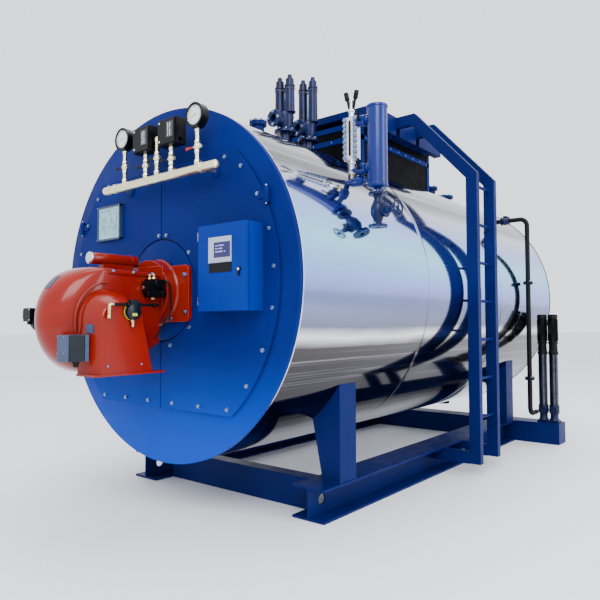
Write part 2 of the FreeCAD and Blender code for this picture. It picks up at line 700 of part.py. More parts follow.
def gauge_valves():
    """Each valve's arm runs from the column to the gauge frame, with a round hub on it."""
    arm_r = 14.0
    made = []
    for z in GAUGE_VALVE_ZS:
        arm = rod_x(arm_r, (GAUGE_GLASS_X, COLUMN_X), GAUGE_GLASS_Y, z)
        hub = rod_y(GAUGE_HUB_R, (GAUGE_GLASS_Y - 50.0, GAUGE_GLASS_Y + arm_r), GAUGE_HUB_X, z)
        upper = z > GAUGE_GLASS_Z[0]
        inner = GAUGE_GLASS_Z[1] + GAUGE_POST if upper else GAUGE_GLASS_Z[0]
        post = rod_z(arm_r, sorted((z, inner)), GAUGE_GLASS_X, GAUGE_GLASS_Y)
        frame = box((GAUGE_GLASS_X - GAUGE_GLASS_W / 2, GAUGE_GLASS_X + GAUGE_GLASS_W / 2),
                    (GAUGE_GLASS_Y - GAUGE_GLASS_D / 2, GAUGE_GLASS_Y + GAUGE_GLASS_D / 2), GAUGE_GLASS_Z)
        valve = fuse(arm, hub, post).cut(frame).cut(column_body(SEAT))
        made += valve.Solids
    return made


def drain_valve():
    """The column's drain valve, with its stem towards +X and its outlet facing down."""
    x = COLUMN_X
    y = COLUMN_Y
    top = (DRAIN_TOP_FLANGE_Z, DRAIN_TOP_FLANGE_Z + 2 * DRAIN_FLANGE_T)
    low = (DRAIN_OUTLET_Z, DRAIN_OUTLET_Z + DRAIN_FLANGE_T)
    pieces = [rod_z(PIPE_R, (DRAIN_OUTLET_Z, COLUMN_Z[0]), x, y),
              rod_z(DRAIN_FLANGE_R, top, x, y),
              rod_z(DRAIN_FLANGE_R, low, x, y),
              Part.makeSphere(DRAIN_BODY_R, V(x, y, DRAIN_BODY_Z)),
              rod_x(DRAIN_BODY_R * 0.6, (x, WHEEL_X - 45.0), y, DRAIN_BODY_Z),
              rod_x(STEM_R, (x, STEM_END), y, DRAIN_BODY_Z)]
    valve = fuse(*pieces)
    valve = valve.cut(rod_z(DRAIN_BORE_R, (DRAIN_OUTLET_Z, DRAIN_BODY_Z), x, y))
    for i in range(4):
        angle = math.radians(45 + 90 * i)
        hole = rod_z(DRAIN_HOLE_R, low, x + DRAIN_PCD / 2 * math.cos(angle), y + DRAIN_PCD / 2 * math.sin(angle))
        valve = valve.cut(hole)
    return valve


def drain_handwheel():
    centre = V(WHEEL_X, COLUMN_Y, DRAIN_BODY_Z)
    rim = Part.makeTorus(WHEEL_R - WHEEL_RIM_R, WHEEL_RIM_R, centre, V(1, 0, 0))
    hub = rod_x(WHEEL_HUB_R, (WHEEL_X - WHEEL_HUB_L / 2, WHEEL_X + WHEEL_HUB_L / 2), COLUMN_Y, DRAIN_BODY_Z)
    pieces = [rim, hub]
    for i in range(3):
        angle = math.radians(90 + 120 * i)
        direction = V(0, math.cos(angle), math.sin(angle))
        pieces.append(Part.makeCylinder(WHEEL_SPOKE_R, WHEEL_R - WHEEL_RIM_R, centre, direction))
    bore = rod_x(STEM_R + SEAT, (WHEEL_X - WHEEL_HUB_L, WHEEL_X + WHEEL_HUB_L), COLUMN_Y, DRAIN_BODY_Z)
    return fuse(*pieces).cut(bore)


# ---------------------------------------------------------------- feed side
def pipe_sweep(points, radius, bend_r):
    """Straight runs joined by tangent arcs, with square corners rounded to bend_r."""
    edges = []
    start = points[0]
    for i in range(1, len(points) - 1):
        before = (points[i] - points[i - 1]).normalize()
        after = (points[i + 1] - points[i]).normalize()
        a = points[i] - before * bend_r
        b = points[i] + after * bend_r
        centre = a + after * bend_r
        mid = centre + (points[i] - centre).normalize() * bend_r
        edges.append(Part.LineSegment(start, a).toShape())
        edges.append(Part.Arc(a, mid, b).toShape())
        start = b
    edges.append(Part.LineSegment(start, points[-1]).toShape())
    path = Part.Wire(edges)
    first = (points[1] - points[0]).normalize()
    profile = Part.Wire(Part.makeCircle(radius, points[0], first))
    return path.makePipeShell([profile], True, True)


def feed_pipe():
    """From the front pump's port up beside the jacket and over to it."""
    pump_y = RAIL_START + RAIL_LENGTH + REAR_BEAM_W / 2
    points = [V(FEED_X, pump_y - PUMP_FOOT / 2 - SEAT, FEED_LOW), V(FEED_X, FEED_Y, FEED_LOW),
              V(FEED_X, FEED_Y, FEED_TOP), V(0, FEED_Y, FEED_TOP)]
    return off_shell(pipe_sweep(points, FEED_R, FEED_BEND_R)).cut(check_valve())


def check_valve():
    reach = 36.0
    body = rod_x(CHECK_R, (CHECK_X - reach, CHECK_X + reach), FEED_Y, FEED_TOP)
    bonnet = rod_z(CHECK_R * 0.7, (FEED_TOP, FEED_TOP + CHECK_R + 18.0), CHECK_X, FEED_Y)
    return fuse(body, bonnet)


def feed_pump(x):
    """A vertical multistage pump: foot, column, motor."""
    y = RAIL_START + RAIL_LENGTH + REAR_BEAM_W / 2
    half = PUMP_FOOT / 2
    foot_top = RAIL_TOP + PUMP_FOOT_H
    foot = box((x - half, x + half), (y - half, y + half), (RAIL_TOP, foot_top))
    column = rod_z(PUMP_COLUMN_R, (foot_top, PUMP_HEAD_Z), x, y)
    motor = rod_z(PUMP_MOTOR_R, (PUMP_HEAD_Z, PUMP_TOP), x, y)
    suction = rod_y(PUMP_BORE_R, (y + half - PUMP_BORE_L, y + half), x, PUMP_PORT_Z)
    return fuse(foot, column, motor).cut(suction)


def blowdown_nozzle():
    neck = rod_z(BLOWDOWN_R, (BLOWDOWN_END, -SHELL_R + 30.0), 0, BLOWDOWN_Y)
    flange = rod_z(BLOWDOWN_FLANGE_R, (BLOWDOWN_END, BLOWDOWN_END + 16.0), 0, BLOWDOWN_Y)
    solid = off_shell(fuse(neck, flange))
    return solid.cut(rod_z(BLOWDOWN_BORE_R, (BLOWDOWN_END, -SHELL_R), 0, BLOWDOWN_Y))


# ---------------------------------------------------------------- nodes
save("shell_jacket", shell_jacket())
save("front_plate", rod_y(PLATE_R, (0, PLATE_T), 0, 0))
save("rear_plate", rod_y(REAR_R, (BODY_LENGTH - REAR_T, BODY_LENGTH), 0, 0))
door_left, door_right = doors()
save("front_door_left", door_left)
save("front_door_right", door_right)
save("front_door_lugs", *door_lugs())
save("burner_plate", rod_y(BURNER_PLATE_R, (-DOOR_T, 0), 0, BURNER_Z))
save("nameplate", nameplate())
save("saddles", *saddles())

save("skid_rail_left", rail(-1))
save("skid_rail_right", rail(1))
save("skid_front_channel", front_cross_channel())
save("skid_rear_beam", rear_beam())

save("ladder_frame_front", ladder_frame(LADDER_FRONT))
save("ladder_frame_rear", ladder_frame(LADDER_FRONT + LADDER_PITCH))
save("ladder_rungs", *ladder_rungs())
save("ladder_feet", *ladder_feet())
save("platform_side_beams", *platform_side_beams())
save("platform_end_beams", *platform_end_beams())
save("platform_deck", box((-PLATFORM_X, PLATFORM_X), PLATFORM_Y, (FRAME_TOP, FRAME_TOP + DECK_T)))
save("flue_casing", flue_casing())
save("casing_angles", casing_angles())

gauge_foot = GAUGE_Z - GAUGE_R
switch_foot = SWITCH_Z - SWITCH_H / 2
save("manifold", manifold())
save("gauge_risers", *[riser(x, gauge_foot, 690.0) for x in GAUGE_XS])
save("switch_risers", *[riser(x, switch_foot, 665.0) for x in SWITCH_XS], riser(TEST_COCK_X, TEST_COCK_TOP, 690.0))
save("pressure_gauge_left", pressure_gauge(GAUGE_XS[0]))
save("pressure_gauge_right", pressure_gauge(GAUGE_XS[1]))
save("pressure_switch_left", pressure_switch(SWITCH_XS[0]))
save("pressure_switch_right", pressure_switch(SWITCH_XS[1]))

save("cabinet_body", cabinet_body())
save("cabinet_door", cabinet_door())
save("display_panel", display_panel())

save("burner_flange", burner_flange())
save("burner_housing", burner_housing())
save("burner_air_box", burner_air_box())
save("burner_motor", burner_motor())
save("burner_tube", burner_tube())
save("burner_servo", burner_servo())
save("burner_air_switch", burner_air_switch())
save("burner_valve_block", burner_valve_block())

save("safety_valve_front", safety_valve(SAFETY_YS[0], SAFETY_TOPS[0]))
save("safety_valve_rear", safety_valve(SAFETY_YS[1], SAFETY_TOPS[1]))
save("top_nozzles", *[top_nozzle(*nozzle) for nozzle in TOP_NOZZLES])

save("level_column", level_column())
save("column_pipes", *column_pipes())
save("level_gauge", level_gauge())
save("gauge_valves", *gauge_valves())
save("drain_valve", drain_valve())
save("drain_handwheel", drain_handwheel())

save("feed_pipe", feed_pipe())
save("check_valve", check_valve())
save("feed_pump_left", feed_pump(PUMP_XS[0]))
save("feed_pump_right", feed_pump(PUMP_XS[1]))
save("blowdown_nozzle", blowdown_nozzle())
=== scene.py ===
"""Looks of a packaged steam boiler: jacket, burner, fittings, ladder, pumps and skid."""
import math

import bmesh
import bpy
from mathutils import Matrix, Vector


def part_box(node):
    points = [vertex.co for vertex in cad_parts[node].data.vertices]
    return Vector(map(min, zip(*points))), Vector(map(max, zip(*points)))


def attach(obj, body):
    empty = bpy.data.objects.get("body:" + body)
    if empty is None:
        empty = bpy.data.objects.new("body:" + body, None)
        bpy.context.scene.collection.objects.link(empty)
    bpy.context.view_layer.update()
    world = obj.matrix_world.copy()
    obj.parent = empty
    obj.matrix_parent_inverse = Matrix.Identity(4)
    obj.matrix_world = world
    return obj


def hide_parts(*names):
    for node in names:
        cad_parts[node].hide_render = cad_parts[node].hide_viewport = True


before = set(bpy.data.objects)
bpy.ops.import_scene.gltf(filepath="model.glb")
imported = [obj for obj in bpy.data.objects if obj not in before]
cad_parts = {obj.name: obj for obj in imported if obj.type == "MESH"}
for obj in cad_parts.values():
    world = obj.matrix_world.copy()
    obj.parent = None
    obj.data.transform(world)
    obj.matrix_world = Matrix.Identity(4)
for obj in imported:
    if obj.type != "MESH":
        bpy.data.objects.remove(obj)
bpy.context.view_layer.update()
MM = 0.001
FRONT, REAR, LEFT, RIGHT = (0, -1, 0), (0, 1, 0), (-1, 0, 0), (1, 0, 0)
UP, DOWN = (0, 0, 1), (0, 0, -1)
SIDES = ((-1, "left"), (1, "right"))
plate_low, plate_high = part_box("front_plate")
CENTRE = Vector((0.0, plate_low.y, (plate_low.z + plate_high.z) / 2))
FLOOR = -CENTRE.z / MM


def at(x, y, z):
    """Millimetres from the front plate's centre, as a point in the frame."""
    return CENTRE + Vector((x, y, z)) * MM


def span(node):
    """A CAD node's box in millimetres from the front plate's centre."""
    low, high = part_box(node)
    return (low - CENTRE) / MM, (high - CENTRE) / MM


# ------------------------------------------------------------------ finishes
class Mark:
    """A shader socket that can be used in sums."""

    def __init__(self, coat, socket):
        self.coat = coat
        self.socket = socket

    def maths(self, operation, *values):
        return self.coat.node("ShaderNodeMath", {"operation": operation}, *values)

    def __add__(self, other):
        return self.maths("ADD", self, other)

    def __sub__(self, other):
        return self.maths("SUBTRACT", self, other)

    def __rsub__(self, other):
        return self.maths("SUBTRACT", other, self)

    def __mul__(self, other):
        return self.maths("MULTIPLY", self, other)

    __radd__ = __add__
    __rmul__ = __mul__

    def between(self, low, high):
        """0 below low, 1 above high."""
        eased = {"interpolation_type": "SMOOTHSTEP"}
        return self.coat.node("ShaderNodeMapRange", eased, self, low, high, 0.0, 1.0)


class Coat:
    """One finish: a Principled surface with what varies over it."""

    def __init__(self, name, colour, rough, metal=0.0, coat=0.0, alpha=1.0, **constants):
        self.material = bpy.data.materials.new(name)
        self.material.use_nodes = True
        self.tree = self.material.node_tree
        self.surface = self.tree.nodes["Principled BSDF"]
        self.colour = colour
        fixed = {"Base Color": (*colour, 1.0), "Roughness": rough, "Metallic": metal,
                 "Coat Weight": coat, "Coat Roughness": 0.08, "Alpha": alpha, **constants}
        for socket, value in fixed.items():
            self.surface.inputs[socket].default_value = value
        self.place = self.node("ShaderNodeTexCoord", {}, out="Object")

    def node(self, kind, settings, *values, out=0):
        made = self.tree.nodes.new(kind)
        for key, value in settings.items():
            setattr(made, key, value)
        for socket, value in zip([s for s in made.inputs if s.enabled], values):
            if isinstance(value, Mark):
                self.tree.links.new(value.socket, socket)
            elif value is not None:
                socket.default_value = value
        outputs = [s for s in made.outputs if s.enabled]
        return Mark(self, made.outputs[out] if isinstance(out, str) else outputs[out])

    def feed(self, socket, mark):
        self.tree.links.new(mark.socket, self.surface.inputs[socket])
        return self

    def stretched(self, sizes):
        """Object coordinates divided by a size in millimetres along each axis."""
        scale = tuple(1 / (s * MM) for s in sizes)
        return self.node("ShaderNodeMapping", {}, self.place, None, None, scale)

    def noise(self, sizes, detail=3.0, rough=0.55):
        return self.node("ShaderNodeTexNoise", {}, self.stretched(sizes), 1.0, detail, rough)

    def axis(self, letter):
        return self.node("ShaderNodeSeparateXYZ", {}, self.place, out=letter)

    def tint(self, mark, other):
        """Colour moves from the finish's own towards another with the mark."""
        mix = self.tree.nodes.new("ShaderNodeMix")
        mix.data_type = "RGBA"
        self.tree.links.new(mark.socket, mix.inputs[0])
        source = self.surface.inputs["Base Color"]
        if source.links:
            self.tree.links.new(source.links[0].from_socket, mix.inputs[6])
        else:
            mix.inputs[6].default_value = (*self.colour, 1.0)
        mix.inputs[7].default_value = (*other, 1.0)
        self.tree.links.new(mix.outputs[2], source)
        return self

    def banded(self, mark, stops):
        """Base colour read off a ramp of (place, colour) stops."""
        ramp = self.tree.nodes.new("ShaderNodeValToRGB")
        points = ramp.color_ramp.elements
        while len(points) < len(stops):
            points.new(0.5)
        for point, (place, colour) in zip(points, stops):
            point.position = place
            point.color = (*colour, 1.0)
        self.tree.links.new(mark.socket, ramp.inputs[0])
        self.tree.links.new(ramp.outputs[0], self.surface.inputs["Base Color"])
        return self

    def vary_rough(self, mark, low, high):
        return self.feed("Roughness", mark * (high - low) + low)

    def bump(self, mark, millimetres, strength=1.0):
        raised = self.tree.nodes.new("ShaderNodeBump")
        raised.inputs["Strength"].default_value = strength
        raised.inputs["Distance"].default_value = millimetres * MM
        self.tree.links.new(mark.socket, raised.inputs["Height"])
        source = self.surface.inputs["Normal"]
        if source.links:
            self.tree.links.new(source.links[0].from_socket, raised.inputs["Normal"])
        self.tree.links.new(raised.outputs["Normal"], source)
        return self


GRIME = (0.01, 0.012, 0.02)


def gloss_paint(name, colour, shade, rough, coat, glare):
    """Sprayed enamel: cloudy tone, faint orange peel, dust in patches; glare is its specular level."""
    paint = Coat(name, colour, rough, coat=coat, **{"Specular IOR Level": glare})
    paint.tint(paint.noise((420, 420, 420), 4.0).between(0.35, 0.75) * 0.6, shade)
    paint.tint(paint.noise((60, 60, 160), 6.0, 0.7).between(0.58, 0.8) * 0.18, GRIME)
    paint.vary_rough(paint.noise((90, 90, 90), 5.0), rough * 0.75, rough * 1.5)
    return paint.bump(paint.noise((7, 7, 7), 2.0), 0.12, 0.35)


def cast_paint(name, colour, shade, rough, glare=0.25):
    """Painted casting: grainy skin under thick paint."""
    paint = Coat(name, colour, rough, coat=0.03, **{"Specular IOR Level": glare})
    paint.tint(paint.noise((45, 45, 45), 5.0).between(0.35, 0.7), shade)
    paint.vary_rough(paint.noise((20, 20, 20), 4.0), rough * 0.7, rough * 1.35)
    return paint.bump(paint.noise((3.5, 3.5, 3.5), 4.0), 0.35, 0.5)


def turned_metal(name, colour, rough, shade=None):
    """Bare machined metal with fine drag lines and a little tarnish."""
    metal = Coat(name, colour, rough, metal=1.0)
    tarnish = shade or tuple(c * 0.55 for c in colour)
    metal.tint(metal.noise((35, 35, 35), 5.0).between(0.4, 0.75) * 0.6, tarnish)
    metal.vary_rough(metal.noise((2, 2, 30), 3.0), rough * 0.7, rough * 1.6)
    return metal.bump(metal.noise((1.2, 1.2, 14), 2.0), 0.08, 0.4)


# Painted reflection: the jacket's tone by height, as bands standing in for the surroundings mirrored in the
# sheet. Share of two metres above the floor, colour.
JACKET_REFLECTION_BANDS = [
    (0.13, (0.40, 0.39, 0.40)), (0.225, (0.52, 0.52, 0.54)), (0.262, (0.030, 0.028, 0.032)),
    (0.40, (0.045, 0.042, 0.046)), (0.465, (0.07, 0.062, 0.060)), (0.492, (0.80, 0.78, 0.76)),
    (0.520, (0.16, 0.17, 0.23)), (0.600, (0.24, 0.29, 0.52)), (0.645, (0.32, 0.43, 0.95)),
    (0.740, (0.34, 0.78, 1.0)), (0.830, (0.38, 0.50, 0.95)), (0.905, (0.60, 0.61, 0.70)),
    (0.950, (0.13, 0.12, 0.125)), (1.0, (0.22, 0.21, 0.21))]


def polished_jacket():
    """Mirror-finished sheet: painted reflection bands round the girth, painted reflection and highlight
    streaks, slow oil-canning and a fine rolled grain.
    """
    sheet = Coat("jacket_mirror_sheet", (0.42, 0.56, 0.90), 0.07, metal=1.0)
    wave = sheet.noise((700, 1900, 600), 4.0, 0.6) * 0.14 - 0.07
    height = (sheet.axis("Z") + wave) * 0.5
    sheet.banded(height, JACKET_REFLECTION_BANDS)
    # Light streaks in the dark lower bands are painted reflection; white streaks near the top are painted
    # highlights.
    reflection_streak = sheet.noise((1100, 3600, 24), 4.0, 0.65).between(0.50, 0.72)
    dark = 1.0 - height.between(0.46, 0.49)
    sheet.tint(reflection_streak * dark * 0.55, (0.40, 0.36, 0.35))
    sheet.tint(reflection_streak * height.between(0.88, 0.93) * 0.8, (0.85, 0.85, 0.88))
    sheet.vary_rough(sheet.noise((5, 160, 5), 3.0), 0.04, 0.12)
    return sheet.bump(sheet.noise((420, 520, 420), 1.0), 3.0, 0.12)


plate_blue = gloss_paint("front_blue_enamel", (0.0002, 0.0095, 0.120), (0.0001, 0.005, 0.075), 0.42, 0.0,
                         0.06)
# Painted light: the blue turns lighter towards the bottom, standing in for light thrown up from the floor
# onto the lower plate.
plate_blue.tint((1.0 - plate_blue.axis("Z").between(0.30, 1.0)) * 0.62, (0.002, 0.075, 0.60))
# Painted shade: this is the front plate's blue paint set darker, standing in for the shade on the ladder,
# skid and frames.
shaded_frame_blue = gloss_paint("frame_blue_enamel", (0.0002, 0.0065, 0.080), (0.0002, 0.0035, 0.045), 0.38, 0.0,
                         0.08)
cabinet_blue = gloss_paint("cabinet_blue_enamel", (0.0003, 0.019, 0.21), (0.0002, 0.013, 0.15), 0.38, 0.02,
                           0.10)
column_blue = gloss_paint("column_blue_enamel", (0.0003, 0.013, 0.15), (0.0002, 0.006, 0.08), 0.2, 0.08,
                          0.3)
valve_blue = cast_paint("valve_navy_casting", (0.0003, 0.006, 0.060), (0.0002, 0.0025, 0.022), 0.34, 0.22)
burner_red = gloss_paint("burner_red_enamel", (0.215, 0.0075, 0.0012), (0.145, 0.0035, 0.0007), 0.18, 0.14,
                         0.22)
pump_black = cast_paint("pump_black_casting", (0.001, 0.0012, 0.002), (0.003, 0.0035, 0.005), 0.38, 0.12)
foot_blue = cast_paint("pump_foot_casting", (0.0006, 0.006, 0.045), (0.0003, 0.003, 0.02), 0.4)
casing_black = gloss_paint("casing_black_sheet", (0.0006, 0.0008, 0.0016), (0.0012, 0.0016, 0.003), 0.55,
                           0.0, 0.05)
manifold_cream = turned_metal("manifold_nickel_brass", (0.86, 0.82, 0.55), 0.28, (0.66, 0.58, 0.30))
brass = turned_metal("fitting_brass", (0.76, 0.56, 0.23), 0.26)
zinc = turned_metal("bolt_zinc", (0.20, 0.27, 0.44), 0.3)
stainless = turned_metal("stainless_tube", (0.72, 0.74, 0.77), 0.2)
trim_steel = turned_metal("edge_trim_steel", (0.80, 0.86, 0.92), 0.14)
jacket_mirror = polished_jacket()
plain_black = cast_paint("switch_black_plastic", (0.0012, 0.0012, 0.0016), (0.003, 0.003, 0.004), 0.34,
                         0.15)
rubber = cast_paint("gasket_rubber", (0.012, 0.012, 0.013), (0.02, 0.02, 0.022), 0.7)
servo_grey = cast_paint("servo_grey_plastic", (0.035, 0.055, 0.11), (0.025, 0.04, 0.085), 0.4)
servo_teal = cast_paint("servo_teal_cover", (0.0008, 0.005, 0.010), (0.0006, 0.003, 0.006), 0.3)
bezel_grey = cast_paint("display_grey_bezel", (0.36, 0.40, 0.50), (0.30, 0.34, 0.43), 0.35)
window_grey = cast_paint("switch_window_grey", (0.05, 0.06, 0.075), (0.03, 0.035, 0.045), 0.2)
dial_white = cast_paint("dial_white_enamel", (0.78, 0.80, 0.76), (0.70, 0.72, 0.68), 0.3)
tag_yellow = cast_paint("plain_yellow_band", (0.42, 0.52, 0.04), (0.34, 0.42, 0.03), 0.4)
lever_red = cast_paint("lever_red_dip", (0.28, 0.02, 0.015), (0.18, 0.012, 0.01), 0.35)
clear_glass = Coat("clear_glass", (0.9, 0.95, 0.97), 0.04, alpha=0.22, coat=1.0)
clear_glass.vary_rough(clear_glass.noise((30, 30, 30)), 0.02, 0.08)
screen = Coat("display_screen", (0.003, 0.003, 0.045), 0.15, **{"Emission Strength": 0.25})
screen.surface.inputs["Emission Color"].default_value = (0.01, 0.01, 0.14, 1.0)
screen.tint(screen.noise((16, 16, 16)), (0.006, 0.006, 0.08))
screen_mark = Coat("display_marks", (0.30, 0.32, 0.75), 0.2, **{"Emission Strength": 0.3})
screen_mark.surface.inputs["Emission Color"].default_value = (0.25, 0.27, 0.7, 1.0)
screen_mark.tint(screen_mark.noise((5, 5, 5)), (0.2, 0.2, 0.6))
column_steel = turned_metal("pump_dark_steel", (0.06, 0.07, 0.09), 0.16, (0.02, 0.022, 0.03))
plate_polish = turned_metal("nameplate_polish", (0.34, 0.56, 0.64), 0.12, (0.10, 0.17, 0.22))
weld_steel = gloss_paint("painted_weld", (0.0003, 0.010, 0.10), (0.0002, 0.005, 0.06), 0.4, 0.0, 0.12)


# ------------------------------------------------------------------ shapes
def square_to(direction):
    """An axis and two directions square to it and to each other."""
    axis = Vector(direction).normalized()
    side = axis.orthogonal().normalized()
    return axis, side, axis.cross(side)


def round_points(centre, side, up, radius, count, start=0.0):
    """Evenly spaced points of a circle in the plane of side and up."""
    turns = [math.radians(start) + 2 * math.pi * i / count for i in range(count)]
    return [centre + (side * math.cos(t) + up * math.sin(t)) * radius for t in turns]


def linked(name, data):
    """A new object in the scene."""
    made = bpy.data.objects.new(name, data)
    bpy.context.scene.collection.objects.link(made)
    return made


LEAST_RADIUS = 0.02


class Work:
    """A workpiece drawn in millimetres from the front plate's centre."""

    def __init__(self, *coats):
        self.mesh = bmesh.new()
        self.coats = list(coats)
        self.coat = 0

    def use(self, coat):
        if coat not in self.coats:
            self.coats.append(coat)
        self.coat = self.coats.index(coat)
        return self

    def shell(self, rings, loop=False):
        """Joins rings of equally many points; each ring is closed on itself."""
        made = [[self.mesh.verts.new(p) for p in ring] for ring in rings]
        faces = []
        count = len(made[0])
        pairs = list(zip(made, made[1:])) + ([(made[-1], made[0])] if loop else [])
        for a, b in pairs:
            for i in range(count):
                j = (i + 1) % count
                faces.append(self.mesh.faces.new((a[i], a[j], b[j], b[i])))
        if not loop:
            faces.append(self.mesh.faces.new(made[0][::-1]))
            faces.append(self.mesh.faces.new(made[-1]))
        bmesh.ops.recalc_face_normals(self.mesh, faces=faces)
        for face in faces:
            face.material_index = self.coat
            face.smooth = True
        return self

    def block(self, x, y, z):
        ring = [(x[0], y[0]), (x[1], y[0]), (x[1], y[1]), (x[0], y[1])]
        return self.shell([[Vector((px, py, pz)) for px, py in ring] for pz in z])

    def prism(self, outline, along, reach):
        """An outline in the other two axes, in X, Y, Z order, pushed along one axis."""
        def point(pair, value):
            spots = list(pair)
            spots.insert("xyz".index(along), value)
            return Vector(spots)
        return self.shell([[point(p, value) for p in outline] for value in reach])

    def turn(self, start, direction, profile, count=40):
        """A turned form: pairs of distance from the start and radius."""
        axis, side, up = square_to(direction)
        return self.shell([round_points(Vector(start) + axis * distance, side, up,
                                        max(radius, LEAST_RADIUS), count)
                           for distance, radius in profile])

    def rod(self, a, b, radius, count=28, edge=0.0):
        """A round bar from a to b, its ends eased by edge."""
        a, b = Vector(a), Vector(b)
        length = (b - a).length
        profile = [(0, radius), (length, radius)]
        if edge:
            eased = [(0, radius - edge), (edge * 0.3, radius - edge * 0.3), (edge, radius)]
            profile = eased + [(length - along, r) for along, r in eased[::-1]]
        return self.turn(a, b - a, profile, count)

    def ring(self, centre, direction, inner, outer, thick, count=48):
        """A flat ring with a hole."""
        axis, side, up = square_to(direction)
        corners = ((inner, 0), (outer, 0), (outer, thick), (inner, thick))
        rounds = [round_points(Vector(centre) + axis * d, side, up, r, count) for r, d in corners]
        return self.shell(list(zip(*rounds)), loop=True)

    def hoop(self, centre, direction, radius, wire, count=64, sides=14):
        """A round wire bent to a full circle."""
        axis, side, up = square_to(direction)
        return self.shell([round_points(Vector(centre) + out * radius, out, axis, wire, sides)
                           for out in round_points(Vector(), side, up, 1.0, count)], loop=True)

    def pipe(self, points, radius, bend=30.0, count=24, steps=8):
        """A round pipe along straight runs with rounded corners."""
        points = [Vector(p) for p in points]
        path = [points[0]]
        for before, corner, after in zip(points, points[1:], points[2:]):
            into = (corner - before).normalized()
            out = (after - corner).normalized()
            reach = bend * math.tan(into.angle(out) / 2)
            a, b = corner - into * reach, corner + out * reach
            centre = a + (out - into * into.dot(out)).normalized() * bend
            whole = into.angle(out)
            for i in range(steps + 1):
                part = whole * i / steps
                path.append(centre + (a - centre) * math.cos(part) + into * bend * math.sin(part))
        path.append(points[-1])
        tangents = [(b - a).normalized() for a, b in zip(path, path[1:])]
        tangents.append(tangents[-1])
        side = tangents[0].orthogonal().normalized()
        rings = []
        for i, (spot, tangent) in enumerate(zip(path, tangents)):
            along = (tangent + tangents[max(i - 1, 0)]).normalized()
            side = (side - along * side.dot(along)).normalized()
            up = along.cross(side)
            rings.append(round_points(spot, side, up, radius, count))
        return self.shell(rings)

    def nut(self, centre, direction, across, thick):
        """A hexagon with its corners turned off."""
        r = across / math.sqrt(3)
        profile = [(0, r * 0.93), (thick * 0.12, r), (thick * 0.88, r), (thick, r * 0.93)]
        return self.turn(centre, direction, profile, 6)

    def piece(self, name, *nodes, body="boiler", bevel=1.5, slot=None, angle=32.0, segments=2):
        """Puts the workpiece in the scene on a body, in place of the CAD nodes named."""
        data = bpy.data.meshes.new(name)
        bmesh.ops.scale(self.mesh, vec=(MM,) * 3, verts=self.mesh.verts)
        bmesh.ops.translate(self.mesh, vec=CENTRE, verts=self.mesh.verts)
        self.mesh.to_mesh(data)
        self.mesh.free()
        for coat in self.coats:
            data.materials.append(coat.material)
        made = linked(name, data)
        if bevel:
            edge = made.modifiers.new("edges", "BEVEL")
            edge.width = bevel * MM
            edge.segments = segments
            edge.limit_method = "ANGLE"
            edge.angle_limit = math.radians(angle)
            edge.harden_normals = True
            edge.use_clamp_overlap = True
        else:
            data.set_sharp_from_angle(angle=math.radians(angle))
        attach(made, body)
        if nodes:
            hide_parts(*nodes)
        return made


def circle(centre, radius, start, end, count):
    """Points of an arc, in degrees."""
    turns = [math.radians(start + (end - start) * i / count) for i in range(count + 1)]
    return [(centre[0] + radius * math.cos(t), centre[1] + radius * math.sin(t)) for t in turns]


def pane(y, left, right, foot, top):
    """A rectangle that faces forward."""
    corners = ((left, foot), (right, foot), (right, top), (left, top))
    return [Vector((x, y, z)) for x, z in corners]


def repaint(node, coat):
    """A carried-over CAD piece keeps its shape and gets a finish."""
    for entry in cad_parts[node].material_slots:
        entry.material = coat.material


# ------------------------------------------------------------------ repeated fixings
class Tree:
    """A geometry node group: points in, one real coated shape on each point out."""

    def __init__(self, name, sizes):
        self.group = bpy.data.node_groups.new(name, "GeometryNodeTree")
        ports = self.group.interface
        ports.new_socket("Geometry", in_out="INPUT", socket_type="NodeSocketGeometry")
        for label, value in sizes.items():
            port = ports.new_socket(label, in_out="INPUT", socket_type="NodeSocketFloat")
            port.default_value = value
        ports.new_socket("Finish", in_out="INPUT", socket_type="NodeSocketMaterial")
        ports.new_socket("Geometry", in_out="OUTPUT", socket_type="NodeSocketGeometry")
        self.given = self.node("NodeGroupInput").outputs

    def node(self, kind, settings=None, inputs=None):
        """A node with its settings, and its inputs by name or number."""
        made = self.group.nodes.new(kind)
        for key, value in (settings or {}).items():
            setattr(made, key, value)
        for key, value in (inputs or {}).items():
            if isinstance(value, bpy.types.NodeSocket):
                self.group.links.new(value, made.inputs[key])
            else:
                made.inputs[key].default_value = value
        return made

    def maths(self, operation, *values):
        settings = {"operation": operation}
        return self.node("ShaderNodeMath", settings, dict(enumerate(values))).outputs[0]

    def lifted(self, mesh, height):
        """A mesh node's shape, raised by a height."""
        lift = self.node("ShaderNodeCombineXYZ", None, {2: height}).outputs[0]
        inputs = {"Geometry": mesh.outputs["Mesh"], "Translation": lift}
        return self.node("GeometryNodeTransform", None, inputs).outputs[0]

    def attribute(self, name):
        settings = {"data_type": "FLOAT_VECTOR"}
        return self.node("GeometryNodeInputNamedAttribute", settings, {"Name": name}).outputs[0]

    def close(self, shape, rotation, flat):
        """Sets the shape on every point, makes it real and coats it."""
        inputs = {"Points": self.given["Geometry"], "Instance": shape, "Rotation": rotation}
        real = self.node("GeometryNodeInstanceOnPoints", None, inputs).outputs[0]
        real = self.node("GeometryNodeRealizeInstances", None, {0: real}).outputs[0]
        if flat:
            inputs = {"Geometry": real, "Shade Smooth": False}
            real = self.node("GeometryNodeSetShadeSmooth", None, inputs).outputs[0]
        inputs = {"Geometry": real, "Material": self.given["Finish"]}
        coated = self.node("GeometryNodeSetMaterial", None, inputs).outputs[0]
        self.node("NodeGroupOutput", None, {0: coated})
        return self.group


